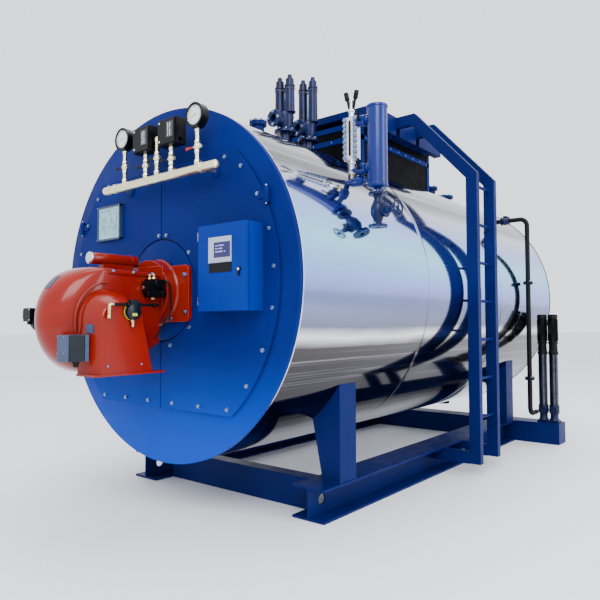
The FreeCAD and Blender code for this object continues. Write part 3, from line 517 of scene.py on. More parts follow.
def bolt_tree():
    """A washer and a hexagon head on each marked point, facing the way it says."""
    tree = Tree("hex_fixings", {"Across flats": 0.018, "Head height": 0.008,
                                "Washer radius": 0.014, "Washer thickness": 0.002})
    flats, height, radius, thickness = tree.given[1:5]
    corner = tree.maths("DIVIDE", flats, math.sqrt(3))
    head = tree.node("GeometryNodeMeshCylinder", None,
                     {"Vertices": 6, "Radius": corner, "Depth": height})
    washer = tree.node("GeometryNodeMeshCylinder", None,
                       {"Vertices": 20, "Radius": radius, "Depth": thickness})
    crown = tree.node("GeometryNodeMeshCone", None,
                      {"Vertices": 16, "Depth": 0.0012, "Radius Bottom": corner,
                       "Radius Top": tree.maths("MULTIPLY", corner, 0.72)})
    joined = tree.node("GeometryNodeJoinGeometry")
    for mesh, lift in ((head, tree.maths("MULTIPLY_ADD", height, 0.5, thickness)),
                       (washer, tree.maths("MULTIPLY", thickness, 0.5)),
                       (crown, tree.maths("ADD", height, thickness))):
        tree.group.links.new(tree.lifted(mesh, lift), joined.inputs[0])
    turned = tree.node("FunctionNodeAlignRotationToVector", {"axis": "Z"},
                       {"Vector": tree.attribute("facing")})
    return tree.close(joined.outputs[0], turned.outputs[0], flat=True)


def fin_tree():
    """Cooling fins set around a motor body."""
    tree = Tree("motor_fins", {"Fin length": 0.1, "Fin height": 0.008, "Fin thickness": 0.0022})
    length, height, thickness = tree.given[1:4]
    size = tree.node("ShaderNodeCombineXYZ", None, {0: thickness, 1: height, 2: length})
    fin = tree.node("GeometryNodeMeshCube", None, {"Size": size.outputs[0]})
    spin = tree.node("FunctionNodeEulerToRotation", None, {0: tree.attribute("turn")})
    return tree.close(fin.outputs["Mesh"], spin.outputs[0], flat=False)


BOLTS, FINS = bolt_tree(), fin_tree()


def grown(name, tree, attribute, points, vectors, sizes, coat):
    """Runs a tree on marked points and keeps the result as a plain mesh piece."""
    marks = bpy.data.meshes.new(name + "_marks")
    marks.from_pydata([at(*point) for point in points], [], [])
    for entry, vector in zip(marks.attributes.new(attribute, "FLOAT_VECTOR", "POINT").data, vectors):
        entry.vector = vector
    carrier = linked(name + "_marks", marks)
    values = {label: size * MM for label, size in sizes.items()}
    values["Finish"] = coat.material
    run = carrier.modifiers.new("grow", "NODES")
    run.node_group = tree
    for item in tree.interface.items_tree:
        if item.in_out == "INPUT" and item.name in values:
            run[item.identifier] = values[item.name]
    view = bpy.context.evaluated_depsgraph_get()
    data = bpy.data.meshes.new_from_object(carrier.evaluated_get(view))
    bpy.data.objects.remove(carrier)
    data.name = name
    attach(linked(name, data), "boiler")


def fixings(name, spots, size, washer=True):
    """Hexagon heads at spots of ((x, y, z), facing), for a thread size in millimetres."""
    sizes = {"Across flats": size * 1.55, "Head height": size * 0.62,
             "Washer radius": size * (1.05 if washer else 0.85), "Washer thickness": size * 0.16}
    points, facings = zip(*spots)
    grown(name, BOLTS, "facing", points, facings, sizes, zinc)


def on_front(spots, y):
    """Spots of X, Z on a face that looks forward."""
    return [((x, y, z), FRONT) for x, z in spots]


def bolt_circle(centre, facing, radius, count, name, start=0.0, size=12):
    side, up = square_to(facing)[1:]
    points = round_points(Vector(centre), side, up, radius, count, start)
    fixings(name, [(tuple(point), facing) for point in points], size)


FIN_ROOT = 4


def fins(name, start, direction, radius, outer, length, count, coat):
    """Fins around a motor: start is their middle, direction the motor's axis."""
    axis, side, up = square_to(direction)
    height = outer - radius + FIN_ROOT
    points, turns = [], []
    for out in round_points(Vector(), side, up, 1.0, count):
        across = axis.cross(out)
        points.append(Vector(start) + out * (outer - height / 2))
        basis = Matrix((across, out, axis)).transposed()
        if basis.determinant() < 0:
            basis = Matrix((-across, out, axis)).transposed()
        turns.append(basis.to_euler())
    sizes = {"Fin length": length, "Fin height": height, "Fin thickness": 2.4}
    grown(name, FINS, "turn", points, turns, sizes, coat)


# ------------------------------------------------------------------ jacket, plates and doors
SHELL_R = 992.0
jacket_low, jacket_high = span("shell_jacket")
SHELL_EDGE = 930.0
LAP_SHARES = (0.335, 0.665, 0.975)
# A lap's bead: distance from its middle, height over the shell.
LAP_BEAD = ((-20, 0), (-10, 0), (-7, 0.9), (-5, 1.2), (5, 1.2), (7, 0.9), (10, 0), (20, 0))


def jacket():
    length = jacket_high.y - jacket_low.y
    profile = [(0, SHELL_EDGE), (0, SHELL_R - 4), (6, SHELL_R), (12, SHELL_R)]
    for share in LAP_SHARES:
        lap = jacket_low.y + length * share - jacket_low.y
        profile += [(lap + along, SHELL_R + height) for along, height in LAP_BEAD]
    profile += [(length - 12, SHELL_R), (length - 6, SHELL_R), (length, SHELL_R - 4), (length, SHELL_EDGE)]
    work = Work(jacket_mirror)
    work.turn((0, jacket_low.y, 0), REAR, profile, 256)
    work.piece("jacket", "shell_jacket", bevel=0, slot="shell_skin", angle=50)


TRIM_R, REAR_BOLT_R, DOOR_BOLT = 999.9, 660, 11


def end_plates():
    front = Work(plate_blue)
    profile = [(0, 997), (0.9, 999), (3, TRIM_R), (25, TRIM_R), (26, 998), (30, 998), (30, 60)]
    front.turn((0, 0, 0), REAR, profile, 192)
    front.piece("front_plate_disc", "front_plate", bevel=0, slot="front_paint")
    trim = Work(trim_steel)
    trim.ring((0, 26, 0), REAR, 985, TRIM_R, 7, 192)
    trim.piece("front_edge_trim", bevel=0, slot="shell_skin", angle=40)
    rear = Work(shaded_frame_blue)
    y = span("rear_plate")[0].y
    rear.turn((0, y, 0), REAR, [(0, 60), (0, 996), (3, 996), (6, 993), (6, 60)], 192)
    for side in (-1, 1):
        cover = circle((0, 0), 690, 90 - side * 0.4, 90 - side * 179.6, 56)
        rear.prism(cover, "y", (y + 4, y + 11))
    rear.hoop((0, y + 6, 0), REAR, 700, 6, 96, 10)
    rear.piece("rear_plate_disc", "rear_plate", bevel=2, slot="frame_paint")
    turns = [2 * math.pi * (i + 0.5) / 24 for i in range(24)]
    spots = [((REAR_BOLT_R * math.cos(t), y + 10.8, REAR_BOLT_R * math.sin(t)), REAR) for t in turns]
    fixings("rear_cover_bolts", spots, DOOR_BOLT)


DOOR_R, DOOR_TOP, DOOR_FOOT, DOOR_FACE = 890.0, 665.0, -690.0, -20
RING_R, RING_Z = 285.0, -30.0
DOOR_BOLT_R, RING_BOLT_R, HINGE_X = 858, 312, 812.0


def half_door(side):
    top = math.degrees(math.asin(DOOR_TOP / DOOR_R))
    foot = math.degrees(math.asin(DOOR_FOOT / DOOR_R))
    outline = [(3, DOOR_TOP)] + circle((0, 0), DOOR_R, top, foot, 56) + [(3, DOOR_FOOT)]
    outline += circle((0, RING_Z), RING_R + 6, -89.3, 89.3, 40)
    return [(side * x, z) for x, z in outline]


def front_doors():
    for side, name in SIDES:
        work = Work(plate_blue)
        work.prism(half_door(side), "y", (DOOR_FACE, 0))
        work.piece("door_" + name, "front_door_" + name, bevel=3.5, slot="front_paint", angle=40,
                   segments=3)
    ring = Work(plate_blue)
    ring.rod((0, 0, RING_Z), (0, DOOR_FACE, RING_Z), RING_R, 96, 3)
    ring.piece("burner_ring_plate", "burner_plate", bevel=0, slot="front_paint")
    seal = Work(rubber)
    seal.ring((0, -3, RING_Z), FRONT, RING_R - 1, RING_R + 8, 4, 96)
    for gap in ((RING_Z + RING_R + 4, DOOR_TOP), (DOOR_FOOT, RING_Z - RING_R - 4)):
        seal.block((-3.2, 3.2), (-7, -1), gap)
    seal.piece("door_seam_seal", bevel=0)
    turns = [math.radians(angle) for angle in (42, 29, 16, 3.6, -9.7, -24, -38)]
    spots = [(side * DOOR_BOLT_R * math.cos(t), DOOR_BOLT_R * math.sin(t)) for t in turns
             for side in (-1, 1)]
    spots += [(side * x, -656) for x in (108, 324, 540) for side in (-1, 1)]
    spots += [(side * x, 640) for side in (-1, 1) for x in (120, 340, 520)]
    fixings("door_bolts", on_front(spots, DOOR_FACE), DOOR_BOLT)
    turns = [math.radians(angle) for angle in (39, 81, 93, 141)]
    spots = [(RING_BOLT_R * math.cos(t), RING_Z + RING_BOLT_R * math.sin(t)) for t in turns]
    spots += [(side * x, z) for side in (-1, 1) for x, z in ((247, -238), (90, -338))]
    fixings("burner_ring_bolts", on_front(spots, DOOR_FACE), DOOR_BOLT)
    for side, name in SIDES:
        hinge = Work(plate_blue)
        x, y = side * HINGE_X, -26
        hinge.rod((x, y, 364), (x, y, 444), 15, 32, 1.5)
        hinge.block((x - 9, x + 9), (y, -1), (368, 440))
        hinge.use(zinc).rod((x, y, 355), (x, y, 453), 6, 20, 1)
        hinge.use(plate_blue).block(sorted((x - side * 60, x)), (-28, -19), (388, 420))
        hinge.piece("door_hinge_" + name, *(["front_door_lugs"] if side > 0 else []), bevel=2)


PLATE_FACE = -41


def nameplate():
    low, high = span("nameplate")
    rim = 12
    work = Work(plate_polish)
    work.block((low.x, high.x), (-38, -34), (low.z, high.z))
    work.block((low.x + 40, high.x - 40), (-40, -37), (low.z + 34, high.z - 34))
    # The rim round the plate is real, but its dark colour is painted shade, standing in for the shade on
    # the border's right and lower edges.
    work.use(servo_grey)
    for x in ((low.x, low.x + rim), (high.x - rim, high.x)):
        work.block(x, (PLATE_FACE, DOOR_FACE), (low.z, high.z))
    for z in ((low.z, low.z + rim), (high.z - rim, high.z)):
        work.block((low.x, high.x), (PLATE_FACE, DOOR_FACE), z)
    work.piece("blank_plate", "nameplate", bevel=1.2, slot="plate_metal")
    spots = [(x, z) for x in (low.x + 6, high.x - 6) for z in (low.z + 6, high.z - 6)]
    fixings("plate_screws", on_front(spots, PLATE_FACE), 5, washer=False)


# ------------------------------------------------------------------ manifold, gauges and switches
MANIFOLD_Y, MANIFOLD_Z = -120.0, 575.0
GAUGE_XS, SWITCH_XS, TEST_X = (-210.0, 420.0), (-12.0, 211.0), 88.0
STAY_INSET = 120


def manifold():
    low, high = span("manifold")
    y, z = MANIFOLD_Y, MANIFOLD_Z
    stays = (low.x + STAY_INSET, high.x - STAY_INSET)
    work = Work(manifold_cream)
    work.turn((low.x, y, z), RIGHT,
              [(0, 8), (2, 16), (6, 22), (12, 24), (968, 24), (974, 22), (978, 16), (980, 8)])
    for x in stays:
        work.rod((x, y, z), (x, DOOR_FACE, z), 12, 28)
        work.ring((x - 9, y, z), RIGHT, 23, 28, 18, 40)
    work.use(plate_blue)
    for x in stays:
        work.rod((x, -29, z), (x, DOOR_FACE, z), 32, 36, 1.5)
    work.use(manifold_cream)
    for x in (*GAUGE_XS, *SWITCH_XS, TEST_X):
        work.turn((x, y, z + 18), UP, [(0, 15), (8, 15), (11, 12), (14, 12)], 28)
    work.piece("steam_manifold", "manifold", bevel=0.8, slot="pipe_metal")


def riser(work, x, top, cock_z):
    """A riser from the manifold with its unions and a lever cock."""
    y = MANIFOLD_Y
    work.use(manifold_cream)
    work.rod((x, y, 599), (x, y, top), 10.5, 24)
    for z, across, thick in ((604, 27, 16), (cock_z - 34, 25, 15), (cock_z + 19, 25, 15),
                             (top - 22, 24, 18)):
        work.nut((x, y, z), UP, across, thick)
    work.turn((x, y, cock_z - 19), UP, [(0, 10), (5, 14), (14, 17), (24, 17), (33, 14), (38, 10)], 32)
    work.turn((x + 14, y, cock_z), RIGHT, [(0, 13), (6, 13), (8, 10), (12, 10)], 24)
    work.use(stainless).rod((x - 24, y, cock_z), (x - 10, y, cock_z), 7, 20)
    work.use(lever_red if x == GAUGE_XS[1] else plain_black)
    work.block((x - 74, x - 22), (y - 6, y - 2), (cock_z - 5, cock_z + 5))
    work.block((x - 84, x - 60), (y - 7, y - 1), (cock_z - 8, cock_z + 8))


def risers():
    gauges = Work(manifold_cream)
    for x in GAUGE_XS:
        riser(gauges, x, 790, 690)
    gauges.piece("gauge_cocks", "gauge_risers", bevel=0.6, slot="pipe_metal")
    switches = Work(manifold_cream)
    for x in SWITCH_XS:
        riser(switches, x, 735, 665)
    riser(switches, TEST_X, 800, 690)
    switches.use(brass).turn((TEST_X, MANIFOLD_Y, 790), UP, [(0, 12), (3, 14), (10, 14), (16, 9), (17, 4)],
                             28)
    switches.piece("switch_cocks", "switch_risers", bevel=0.6, slot="pipe_metal")


def numeral(text, size, spot):
    """A printed dial figure as a flat mesh."""
    curve = bpy.data.curves.new("figure", "FONT")
    curve.body = text
    curve.size = size * MM
    curve.align_x = curve.align_y = "CENTER"
    curve.extrude = 0.2 * MM
    made = linked("figure", curve)
    view = bpy.context.evaluated_depsgraph_get()
    data = bpy.data.meshes.new_from_object(made.evaluated_get(view))
    bpy.data.objects.remove(made)
    data.transform(Matrix.Translation(at(*spot)) @ Matrix.Rotation(math.radians(90), 4, "X"))
    return data


def dial_bar(work, middle, degrees, outline, reach):
    """A flat bar on a dial: corners as distance out and distance across, turned by an angle."""
    t = math.radians(degrees)
    along = Vector((math.cos(t), 0, math.sin(t)))
    across = Vector((-math.sin(t), 0, math.cos(t)))
    ends = [middle + along * r + across * h for r, h in outline]
    work.shell([[Vector((p.x, y, p.z)) for p in ends] for y in reach])


CASE_PROFILE = [(0, 40), (0, 60), (4, 64), (40, 64), (42, 65), (52, 65), (52, 60), (46, 45.5), (45, 45),
                (45, 10)]
DIAL_START, DIAL_STEP, FIGURE_EVERY = 225, 9, 5
FIGURES, FIGURE_R, MARK_ANGLE = ("0", "4", "8", "12", "16", "20", "24"), 27, -18


def gauge(x, name, swing):
    low, high = span(name)
    face, z = low.y, (low.z + high.z) / 2
    middle = Vector((x, 0, z))
    work = Work(plain_black)
    work.turn((x, high.y, z), FRONT, CASE_PROFILE, 64)
    work.use(dial_white).rod((x, face + 7.2, z), (x, face + 5, z), 45, 64)
    work.use(plain_black)
    for step in range(FIGURE_EVERY * (len(FIGURES) - 1) + 1):
        inner, half = (38.5, 0.7) if step % FIGURE_EVERY else (34, 1.5)
        outline = ((inner, -half), (43, -half), (43, half), (inner, half))
        dial_bar(work, middle, DIAL_START - step * DIAL_STEP, outline, (face + 5.2, face + 4.4))
    hand = ((-14, -4), (36, -1.4), (36, 1.4), (-14, 4))
    dial_bar(work, middle, swing, hand, (face + 4.3, face + 3.7))
    work.rod((x, face + 4.9, z), (x, face + 3.6, z), 5, 24)
    work.use(lever_red)
    dial_bar(work, middle, MARK_ANGLE, ((36, -1.4), (43, -1.4), (43, 1.4), (36, 1.4)), (face + 5, face + 4))
    made = work.piece(name + "_case", name, bevel=0, slot="gauge_case")
    printed = bmesh.new()
    printed.from_mesh(made.data)
    black = list(made.data.materials).index(plain_black.material)
    for step, text in enumerate(FIGURES):
        t = math.radians(DIAL_START - step * DIAL_STEP * FIGURE_EVERY)
        data = numeral(text, 9.5, (x + FIGURE_R * math.cos(t), face + 4.7, z + FIGURE_R * math.sin(t)))
        count = len(printed.faces)
        printed.from_mesh(data)
        printed.faces.ensure_lookup_table()
        for facet in printed.faces[count:]:
            facet.material_index = black
        bpy.data.meshes.remove(data)
    printed.to_mesh(made.data)
    printed.free()
    lens = Work(clear_glass)
    lens.rod((x, face + 3.4, z), (x, face + 2.2, z), 51.0, 64)
    lens.piece(name + "_lens", bevel=0)


def switch(name):
    low, high = span(name)
    y = (low.y + high.y) / 2
    work = Work(plain_black)
    work.block((low.x, high.x), (low.y + 8, high.y), (low.z, high.z))
    work.block((low.x + 5, high.x - 5), (low.y, low.y + 10), (low.z + 5, high.z - 5))
    work.use(window_grey)
    work.block((low.x + 78, high.x - 16), (low.y - 1.5, low.y + 2), (low.z + 34, high.z - 22))
    work.use(dial_white)
    for x in (low.x + 92, low.x + 108):
        work.block((x, x + 3), (low.y - 2.5, low.y), (low.z + 40, high.z - 30))
    work.use(lever_red)
    for x, z in ((low.x + 88, low.z + 62), (low.x + 104, low.z + 78)):
        work.block((x, x + 11), (low.y - 3, low.y), (z, z + 4))
    work.use(stainless)
    for z in (high.z - 20, low.z + 20):
        work.rod((low.x + 20, low.y - 2, z), (low.x + 20, low.y + 2, z), 6, 20)
    work.use(plain_black).rod((high.x, y, low.z + 24), (high.x - 30, y, low.z + 24), 12)
    work.turn((low.x + 52, y, high.z - 1), UP, [(0, 13), (1, 13), (1, 10)], 24)
    work.piece(name + "_housing", name, bevel=3, slot="switch_case", segments=3)


# ------------------------------------------------------------------ control cabinet
CABINET_X, CABINET_FRONT, CABINET_WALL = (452.0, 787.0), -115.0, 2.5
LEAF = (-140.0, -120.0)
PIVOT = (CABINET_X[0] - 8, -128.0)
MODULE_ROWS = ((150, (36, 36, 54, 72, 36)), (30, (18, 18, 18, 90, 54, 36)), (-80, (18, 18, 18, 90, 54, 36)))


def cabinet():
    low, high = span("cabinet_body")
    (x0, x1), (z0, z1) = CABINET_X, (low.z, high.z)
    front, wall = CABINET_FRONT, CABINET_WALL
    body = Work(cabinet_blue)
    body.shell([pane(y, x0 + i, x1 - i, z0 + i, z1 - i)
                for y, i in ((DOOR_FACE, 0), (front, 0), (front, wall), (front + 6, wall), (front + 6, 14),
                             (front + 8, 14), (front + 8, wall), (DOOR_FACE - wall, wall))])
    body.use(trim_steel).block((x0 + 20, x1 - 20), (-30, -27), (z0 + 20, z1 - 20))
    for z, widths in MODULE_ROWS:
        body.use(stainless).block((x0 + 30, x1 - 30), (-38, -30), (z - 17, z + 17))
        body.use(servo_grey)
        x = x0 + 36
        for wide in widths:
            body.block((x, x + wide - 2), (-88 if wide > 36 else -76, -38), (z - 40, z + 40))
            x += wide
    body.use(zinc)
    hinges = (z0 + 50, z1 - 50)
    for z in hinges:
        body.rod((*PIVOT, z - 22.5), (*PIVOT, z - 0.5), 8, 24, 1)
        body.rod((*PIVOT, z - 22.5), (*PIVOT, z + 22), 4, 16)
        body.block((PIVOT[0] - 7, x0), (PIVOT[1], front + 26), (z - 22, z - 1))
    body.piece("cabinet_case", "cabinet_body", bevel=1.6, slot="cabinet_paint")
    door = Work(cabinet_blue)
    y0, y1 = LEAF
    door.shell([pane(y, x0 + i, x1 - i, z0 + i, z1 - i)
                for y, i in ((y1 - 3, wall), (y1, wall), (y1, 0), (y0, 0), (y0 + 0.01, 60))])
    door.use(rubber)
    for x in ((x0 + 6, x0 + 14), (x1 - 14, x1 - 6)):
        door.block(x, (y1 - 4, y1 + 3), (z0 + 6, z1 - 6))
    for z in ((z0 + 6, z0 + 14), (z1 - 14, z1 - 6)):
        door.block((x0 + 6, x1 - 6), (y1 - 4, y1 + 3), z)
    door.use(zinc)
    for z in hinges:
        door.ring((*PIVOT, z), UP, 4.3, 8, 22, 28)
        door.block((PIVOT[0] + 4, x0 + 2), (y0 + 1, PIVOT[1] - 3), (z, z + 22))
    lock_x, lock_z = x1 - 45, 38.0
    door.use(plain_black).rod((lock_x, y0 + 1, lock_z), (lock_x, y0 - 6, lock_z), 13, 32, 1.5)
    door.use(stainless).rod((lock_x, y0 - 5, lock_z), (lock_x, y0 - 8, lock_z), 7, 24, 0.8)
    door.use(plain_black).block((lock_x - 5, lock_x + 5), (y0 - 8, y0), (lock_z - 30, lock_z - 14))
    door.piece("cabinet_door_pan", "cabinet_door", body="cabinet_door", bevel=1.6, slot="cabinet_paint")
    display(y0)


def display(face):
    """The display panel on the door's face, with blank bars on its screen."""
    x0, x1, z0, z1 = 534.0, 693.0, 77.0, 203.0
    panel = Work(bezel_grey)
    panel.shell([pane(face - out, x0 + left, x1 - right, z0 + foot, z1 - top)
                 for out, left, foot, right, top in ((0, 0, 0, 0, 0), (6, 0, 0, 0, 0), (8, 3, 3, 3, 3),
                                                     (8, 38, 24, 2.5, 26), (5, 40, 25, 4, 27))])
    panel.use(screen).block((x0 + 39, x1 - 4), (face - 6, face - 4.5), (z0 + 24, z1 - 26))
    panel.use(screen_mark)
    for i, (left, right) in enumerate(((50, 66), (72, 110), (50, 66), (72, 100), (50, 104), (112, 120))):
        z = z1 - 40 - (i // 2) * 15
        panel.block((x0 + left, x0 + right), (face - 6.4, face - 6), (z - 6, z))
    panel.use(plain_black).block((x0 + 2, x1 - 2), (face - 2.5, face), (30, z0 - 1))
    panel.piece("cabinet_display", "display_panel", body="cabinet_door", bevel=0.8, slot="display_glass")


# ------------------------------------------------------------------ burner
def rounded(x0, x1, z0, z1, r, steps=6):
    """A rectangle with rounded corners, anticlockwise."""
    points = []
    for cx, cz, start in ((x1 - r, z1 - r, 0), (x0 + r, z1 - r, 90), (x0 + r, z0 + r, 180),
                          (x1 - r, z0 + r, 270)):
        points += circle((cx, cz), r, start, start + 90, steps)
    return points


FAN_Y, FAN_Z, NOSE = -450.0, -195.0, 256.0
FAN_TOP, FAN_FOOT, CASE_X, CASE_HALF = 72.0, -468.0, -60, 170
MOTOR_Y, INTAKE_Z, INTAKE_FOOT, FLANGE_FACE = -497.0, -205, -468.0, -45
BURNER_BOLT, CASE_BOLT = 12, 13


def scroll(nose=1.0, tall=1.0):
    """The fan case seen from the side, as points in Y, Z; the nose shrinks towards its flanks."""
    points = [(-115.0, 64.0), (-300.0, 70.0)]
    for t in range(90, 271, 6):
        a = math.radians(t)
        lift = (FAN_TOP - FAN_Z) if t <= 180 else (FAN_Z - FAN_FOOT)
        points.append((FAN_Y + NOSE * nose * math.cos(a), FAN_Z + lift * math.sin(a)))
    points += [(-400.0, -467.0), (-300.0, -440.0), (-200.0, -385.0), (-115.0, -330.0)]
    return [(y, FAN_Z + (z - FAN_Z) * tall) for y, z in points]


def intake_arch(x, front, rear, foot, rise, spring):
    """One outline of the air intake, as an arch on straight legs."""
    middle, half = (front + rear) / 2, (rear - front) / 2
    turns = [(t, math.radians(t)) for t in range(6, 175, 7)]
    points = [(middle - half * math.cos(a), spring + rise * math.sin(a) * (1 - t / 900)) for t, a in turns]
    points = [(front, INTAKE_FOOT), (front, spring - 10), *points, (rear, spring - 10), (foot, INTAKE_FOOT)]
    return [Vector((x, y, z)) for y, z in points]


def burner():
    mouth = Work(burner_red)
    mouth.prism(rounded(-267.5, 267.5, -210, 100, 34), "y", (FLANGE_FACE, DOOR_FACE))
    mouth.turn((0, -44, -45), FRONT, [(0, 190), (5, 184), (12, 178), (72, 178)], 64)
    mouth.prism(rounded(-205, 140, -175, 96, 24), "y", (-118, -104))
    mouth.piece("burner_mouth_flange", "burner_flange", bevel=4, slot="burner_paint", segments=3)
    spots = [(side * 237, z) for side in (-1, 1) for z in (45, -155)]
    spots += [(side * 120, z) for side in (-1, 1) for z in (80, -192)]
    fixings("burner_flange_bolts", on_front(spots, FLANGE_FACE), BURNER_BOLT)
    case = Work(burner_red)
    turns = [math.radians(-88 + 176 * i / 32) for i in range(33)]
    case.shell([[Vector((CASE_X + CASE_HALF * math.sin(a), y, z))
                 for y, z in scroll(math.cos(a) ** 0.9, 0.86 + 0.14 * math.cos(a) ** 0.45)] for a in turns])
    case.block((96, 118), (-430, -125), (34, 44))
    case.use(servo_grey)
    edges = [(1.006, math.radians(t)) for t in range(126, 147, 4)]
    edges += [(0.985, math.radians(t)) for t in range(146, 125, -4)]
    label = [(FAN_Y + NOSE * share * math.cos(a), FAN_Z + 267 * share * math.sin(a)) for share, a in edges]
    case.prism(label, "x", (-82, -38))
    case.use(burner_red)
    y, z = FAN_Y - 20, FAN_Z
    case.turn((-212, y, z), LEFT, [(-14, 170), (8, 150), (16, 128), (18, 96)], 56)
    for a in (math.radians(t) for t in range(0, 360, 45)):
        stud = (y + 138 * math.cos(a), z + 138 * math.sin(a))
        case.rod((-220, *stud), (-234, *stud), 9, 20, 2)
    case.piece("burner_case", "burner_housing", bevel=2.5, slot="burner_paint", angle=38)
    spots = [((107, y, 44.5), UP) for y in (-400, -280, -160)]
    fixings("burner_case_bolts", spots, CASE_BOLT)
    box = Work(burner_red)
    box.shell([intake_arch(104, -590, -262, -200, 180, INTAKE_Z),
               intake_arch(110, -590, -262, -200, 180, INTAKE_Z),
               intake_arch(244, -560, -312, -256, 112, INTAKE_Z),
               intake_arch(252, -552, -322, -264, 102, -207)])
    turns = [math.radians(t) for t in range(96, 205, 9)]
    bead = [(112, -425 + 186 * math.cos(a), INTAKE_Z + 194 * math.sin(a)) for a in turns]
    box.pipe(bead, 6, 4, 12, 2)
    box.block((104, 262), (-596, -194), (-468, -458))
    box.piece("burner_air_intake", "burner_air_box", bevel=5, slot="burner_paint", segments=3, angle=36)
    plate = Work(servo_grey)
    plate.block((168, 208), (-588, -566), (-262, -222))
    plate.use(zinc)
    for y in (-520, -330):
        plate.rod((249, y, -420), (256, y, -420), 6, 16, 1)
    conduit = [(150, -150, 8), (196, -112, 8), (196, -104, -150), (160, -180, -300)]
    plate.use(plain_black).pipe(conduit, 5, 26)
    plate.piece("air_intake_grille", bevel=1)


def burner_motor():
    y, z = MOTOR_Y, FAN_Z
    work = Work(pump_black)
    work.turn((-228, y, z), LEFT, [(0, 84), (10, 84), (12, 70), (150, 70), (154, 75), (168, 75), (172, 72),
                                   (196, 70), (206, 60), (212, 30)], 56)
    work.block((-440, -360), (-594, -560), (-205, -133))
    work.block((-434, -366), (-562, -550), (-200, -138))
    work.rod((-398, -577, -205), (-398, -577, -222), 12, 24)
    work.use(stainless)
    for x in (-432, -368):
        for screw_z in (-197, -141):
            work.rod((x, -594, screw_z), (x, -596.5, screw_z), 3.5, 12)
    work.piece("burner_fan_motor", "burner_motor", bevel=2.5, slot="motor_paint")
    fins("burner_motor_fins", (-306, y, z), LEFT, 70.0, 76.0, 130.0, 40, pump_black)


def top_tube():
    tube = Work(burner_red)
    tube.rod((-100, -118, 130), (-100, -404, 130), 31, 48, 2)
    tube.ring((-100, -150, 130), FRONT, 30, 33, 14)
    tube.prism([(-340, 60), (-340, 104), (-150, 104), (-150, 60)], "x", (-122, -78))
    tube.use(stainless)
    tube.turn((-100, -398, 130), FRONT, [(0, 32), (6, 33), (12, 32), (16, 27), (20, 18), (21, 5)], 48)
    tube.piece("burner_top_tube", "burner_tube", bevel=2, slot="burner_paint")


def damper_servo():
    low, high = span("burner_servo")
    servo = Work(servo_grey)
    servo.block((low.x, high.x - 6), (low.y, high.y), (low.z, high.z))
    servo.use(servo_teal)
    servo.block((high.x - 9, high.x + 2), (low.y + 3, high.y - 24), (low.z + 1, high.z - 1))
    servo.use(servo_grey)
    servo.block((high.x - 9, high.x + 1), (high.y - 20, high.y), (low.z, high.z))
    servo.use(plain_black)
    gland = (high.x - 30, (low.y + high.y) / 2, low.z)
    servo.turn(gland, DOWN, [(-3, 17), (8, 17), (9, 14), (24, 13), (26, 9)], 24)
    servo.use(zinc).rod((low.x + 44, high.y - 1, -330), (low.x + 44, -556, -330), 10, 24)
    for x in (low.x + 8, high.x - 46):
        for z in (low.z + 40, high.z - 8):
            servo.rod((x, low.y + 0.5, z), (x, low.y - 2, z), 4, 14)
    servo.piece("damper_servo", "burner_servo", bevel=4, slot="motor_paint", segments=3)


def air_switch():
    x, y, z = 270, -396.0, -160.0
    line_z = z + 34
    air = Work(servo_teal)
    air.turn((246, y, z), RIGHT, [(0, 30), (6, 40), (20, 42), (22, 39), (38, 39), (41, 33)], 48)
    air.block((256, 286), (y - 20, y + 20), (z + 26, z + 58))
    air.use(tag_yellow).ring((257, y, z), RIGHT, 40, 42.6, 7)
    air.block((274, 288.2), (y - 14, y + 14), (z - 22, z - 8))
    air.use(plain_black).rod((x, y - 118, line_z), (x, y + 150, line_z), 7, 20)
    for nut_y in (y - 34, y + 34, y + 120):
        air.nut((x, nut_y, line_z), REAR, 24, 12)
    air.use(brass).pipe([(x, y - 108, line_z), (x, y - 130, line_z), (x, y - 130, z - 34)], 8, 12)
    air.nut((x, y - 130, z - 20), DOWN, 22, 12)
    air.rod((268, y + 2, z - 38), (268, y + 2, z - 74), 8, 20, 1)
    air.nut((268, y + 2, z - 40), DOWN, 22, 12)
    air.piece("air_proving_switch", "burner_air_switch", bevel=1, slot="switch_case")


def fuel_valves():
    low, high = span("burner_valve_block")
    train = Work(pump_black)
    train.block((low.x, high.x), (low.y, high.y), (low.z + 10, high.z))
    train.block((low.x + 8, high.x - 8), (low.y - 20, low.y + 4), (low.z + 30, high.z - 16))
    train.rod((high.x - 2, low.y + 22, high.z - 26), (high.x + 22, low.y + 22, high.z - 26), 19, 28, 2)
    train.rod((high.x - 2, low.y + 54, low.z + 30), (high.x + 26, low.y + 54, low.z + 30), 15, 28, 2)
    train.rod((high.x - 14, low.y - 30, low.z + 24), (high.x - 14, low.y + 96, low.z + 24), 7, 20)
    train.nut((high.x - 14, low.y - 30, low.z + 24), REAR, 22, 12)
    train.use(brass)
    middle = (low.x + high.x) / 2
    for x in (middle - 18, middle + 18):
        train.nut((x, low.y + 22, high.z - 3), UP, 22, 12)
        train.rod((x, low.y + 22, high.z), (x, low.y + 22, high.z + 26), 7, 20)
        train.rod((x, low.y + 22, high.z + 20), (x, low.y + 22, high.z + 27), 10, 20, 1)
    train.nut((middle, low.y + 30, low.z + 12), DOWN, 24, 14)
    train.use(stainless).rod((low.x + 20, low.y - 20, low.z + 60), (low.x + 20, low.y - 23, low.z + 60), 10,
                             24)
    train.piece("fuel_valves", "burner_valve_block", bevel=2.5, slot="motor_paint")


def burner_fittings():
    top_tube()
    damper_servo()
    air_switch()
    fuel_valves()


# ------------------------------------------------------------------ safety valves and nozzles
SHELL_TOP, OUTLET_Z, BONNET_X, BONNET_Z = 975, 1222, 46, 1282
VALVE_YS = {"safety_valve_front": 1067.0, "safety_valve_rear": 1335.0}
NOZZLES = ((785, 60, 1150), (3330, 75, 1150), (3660, 90, 1115))


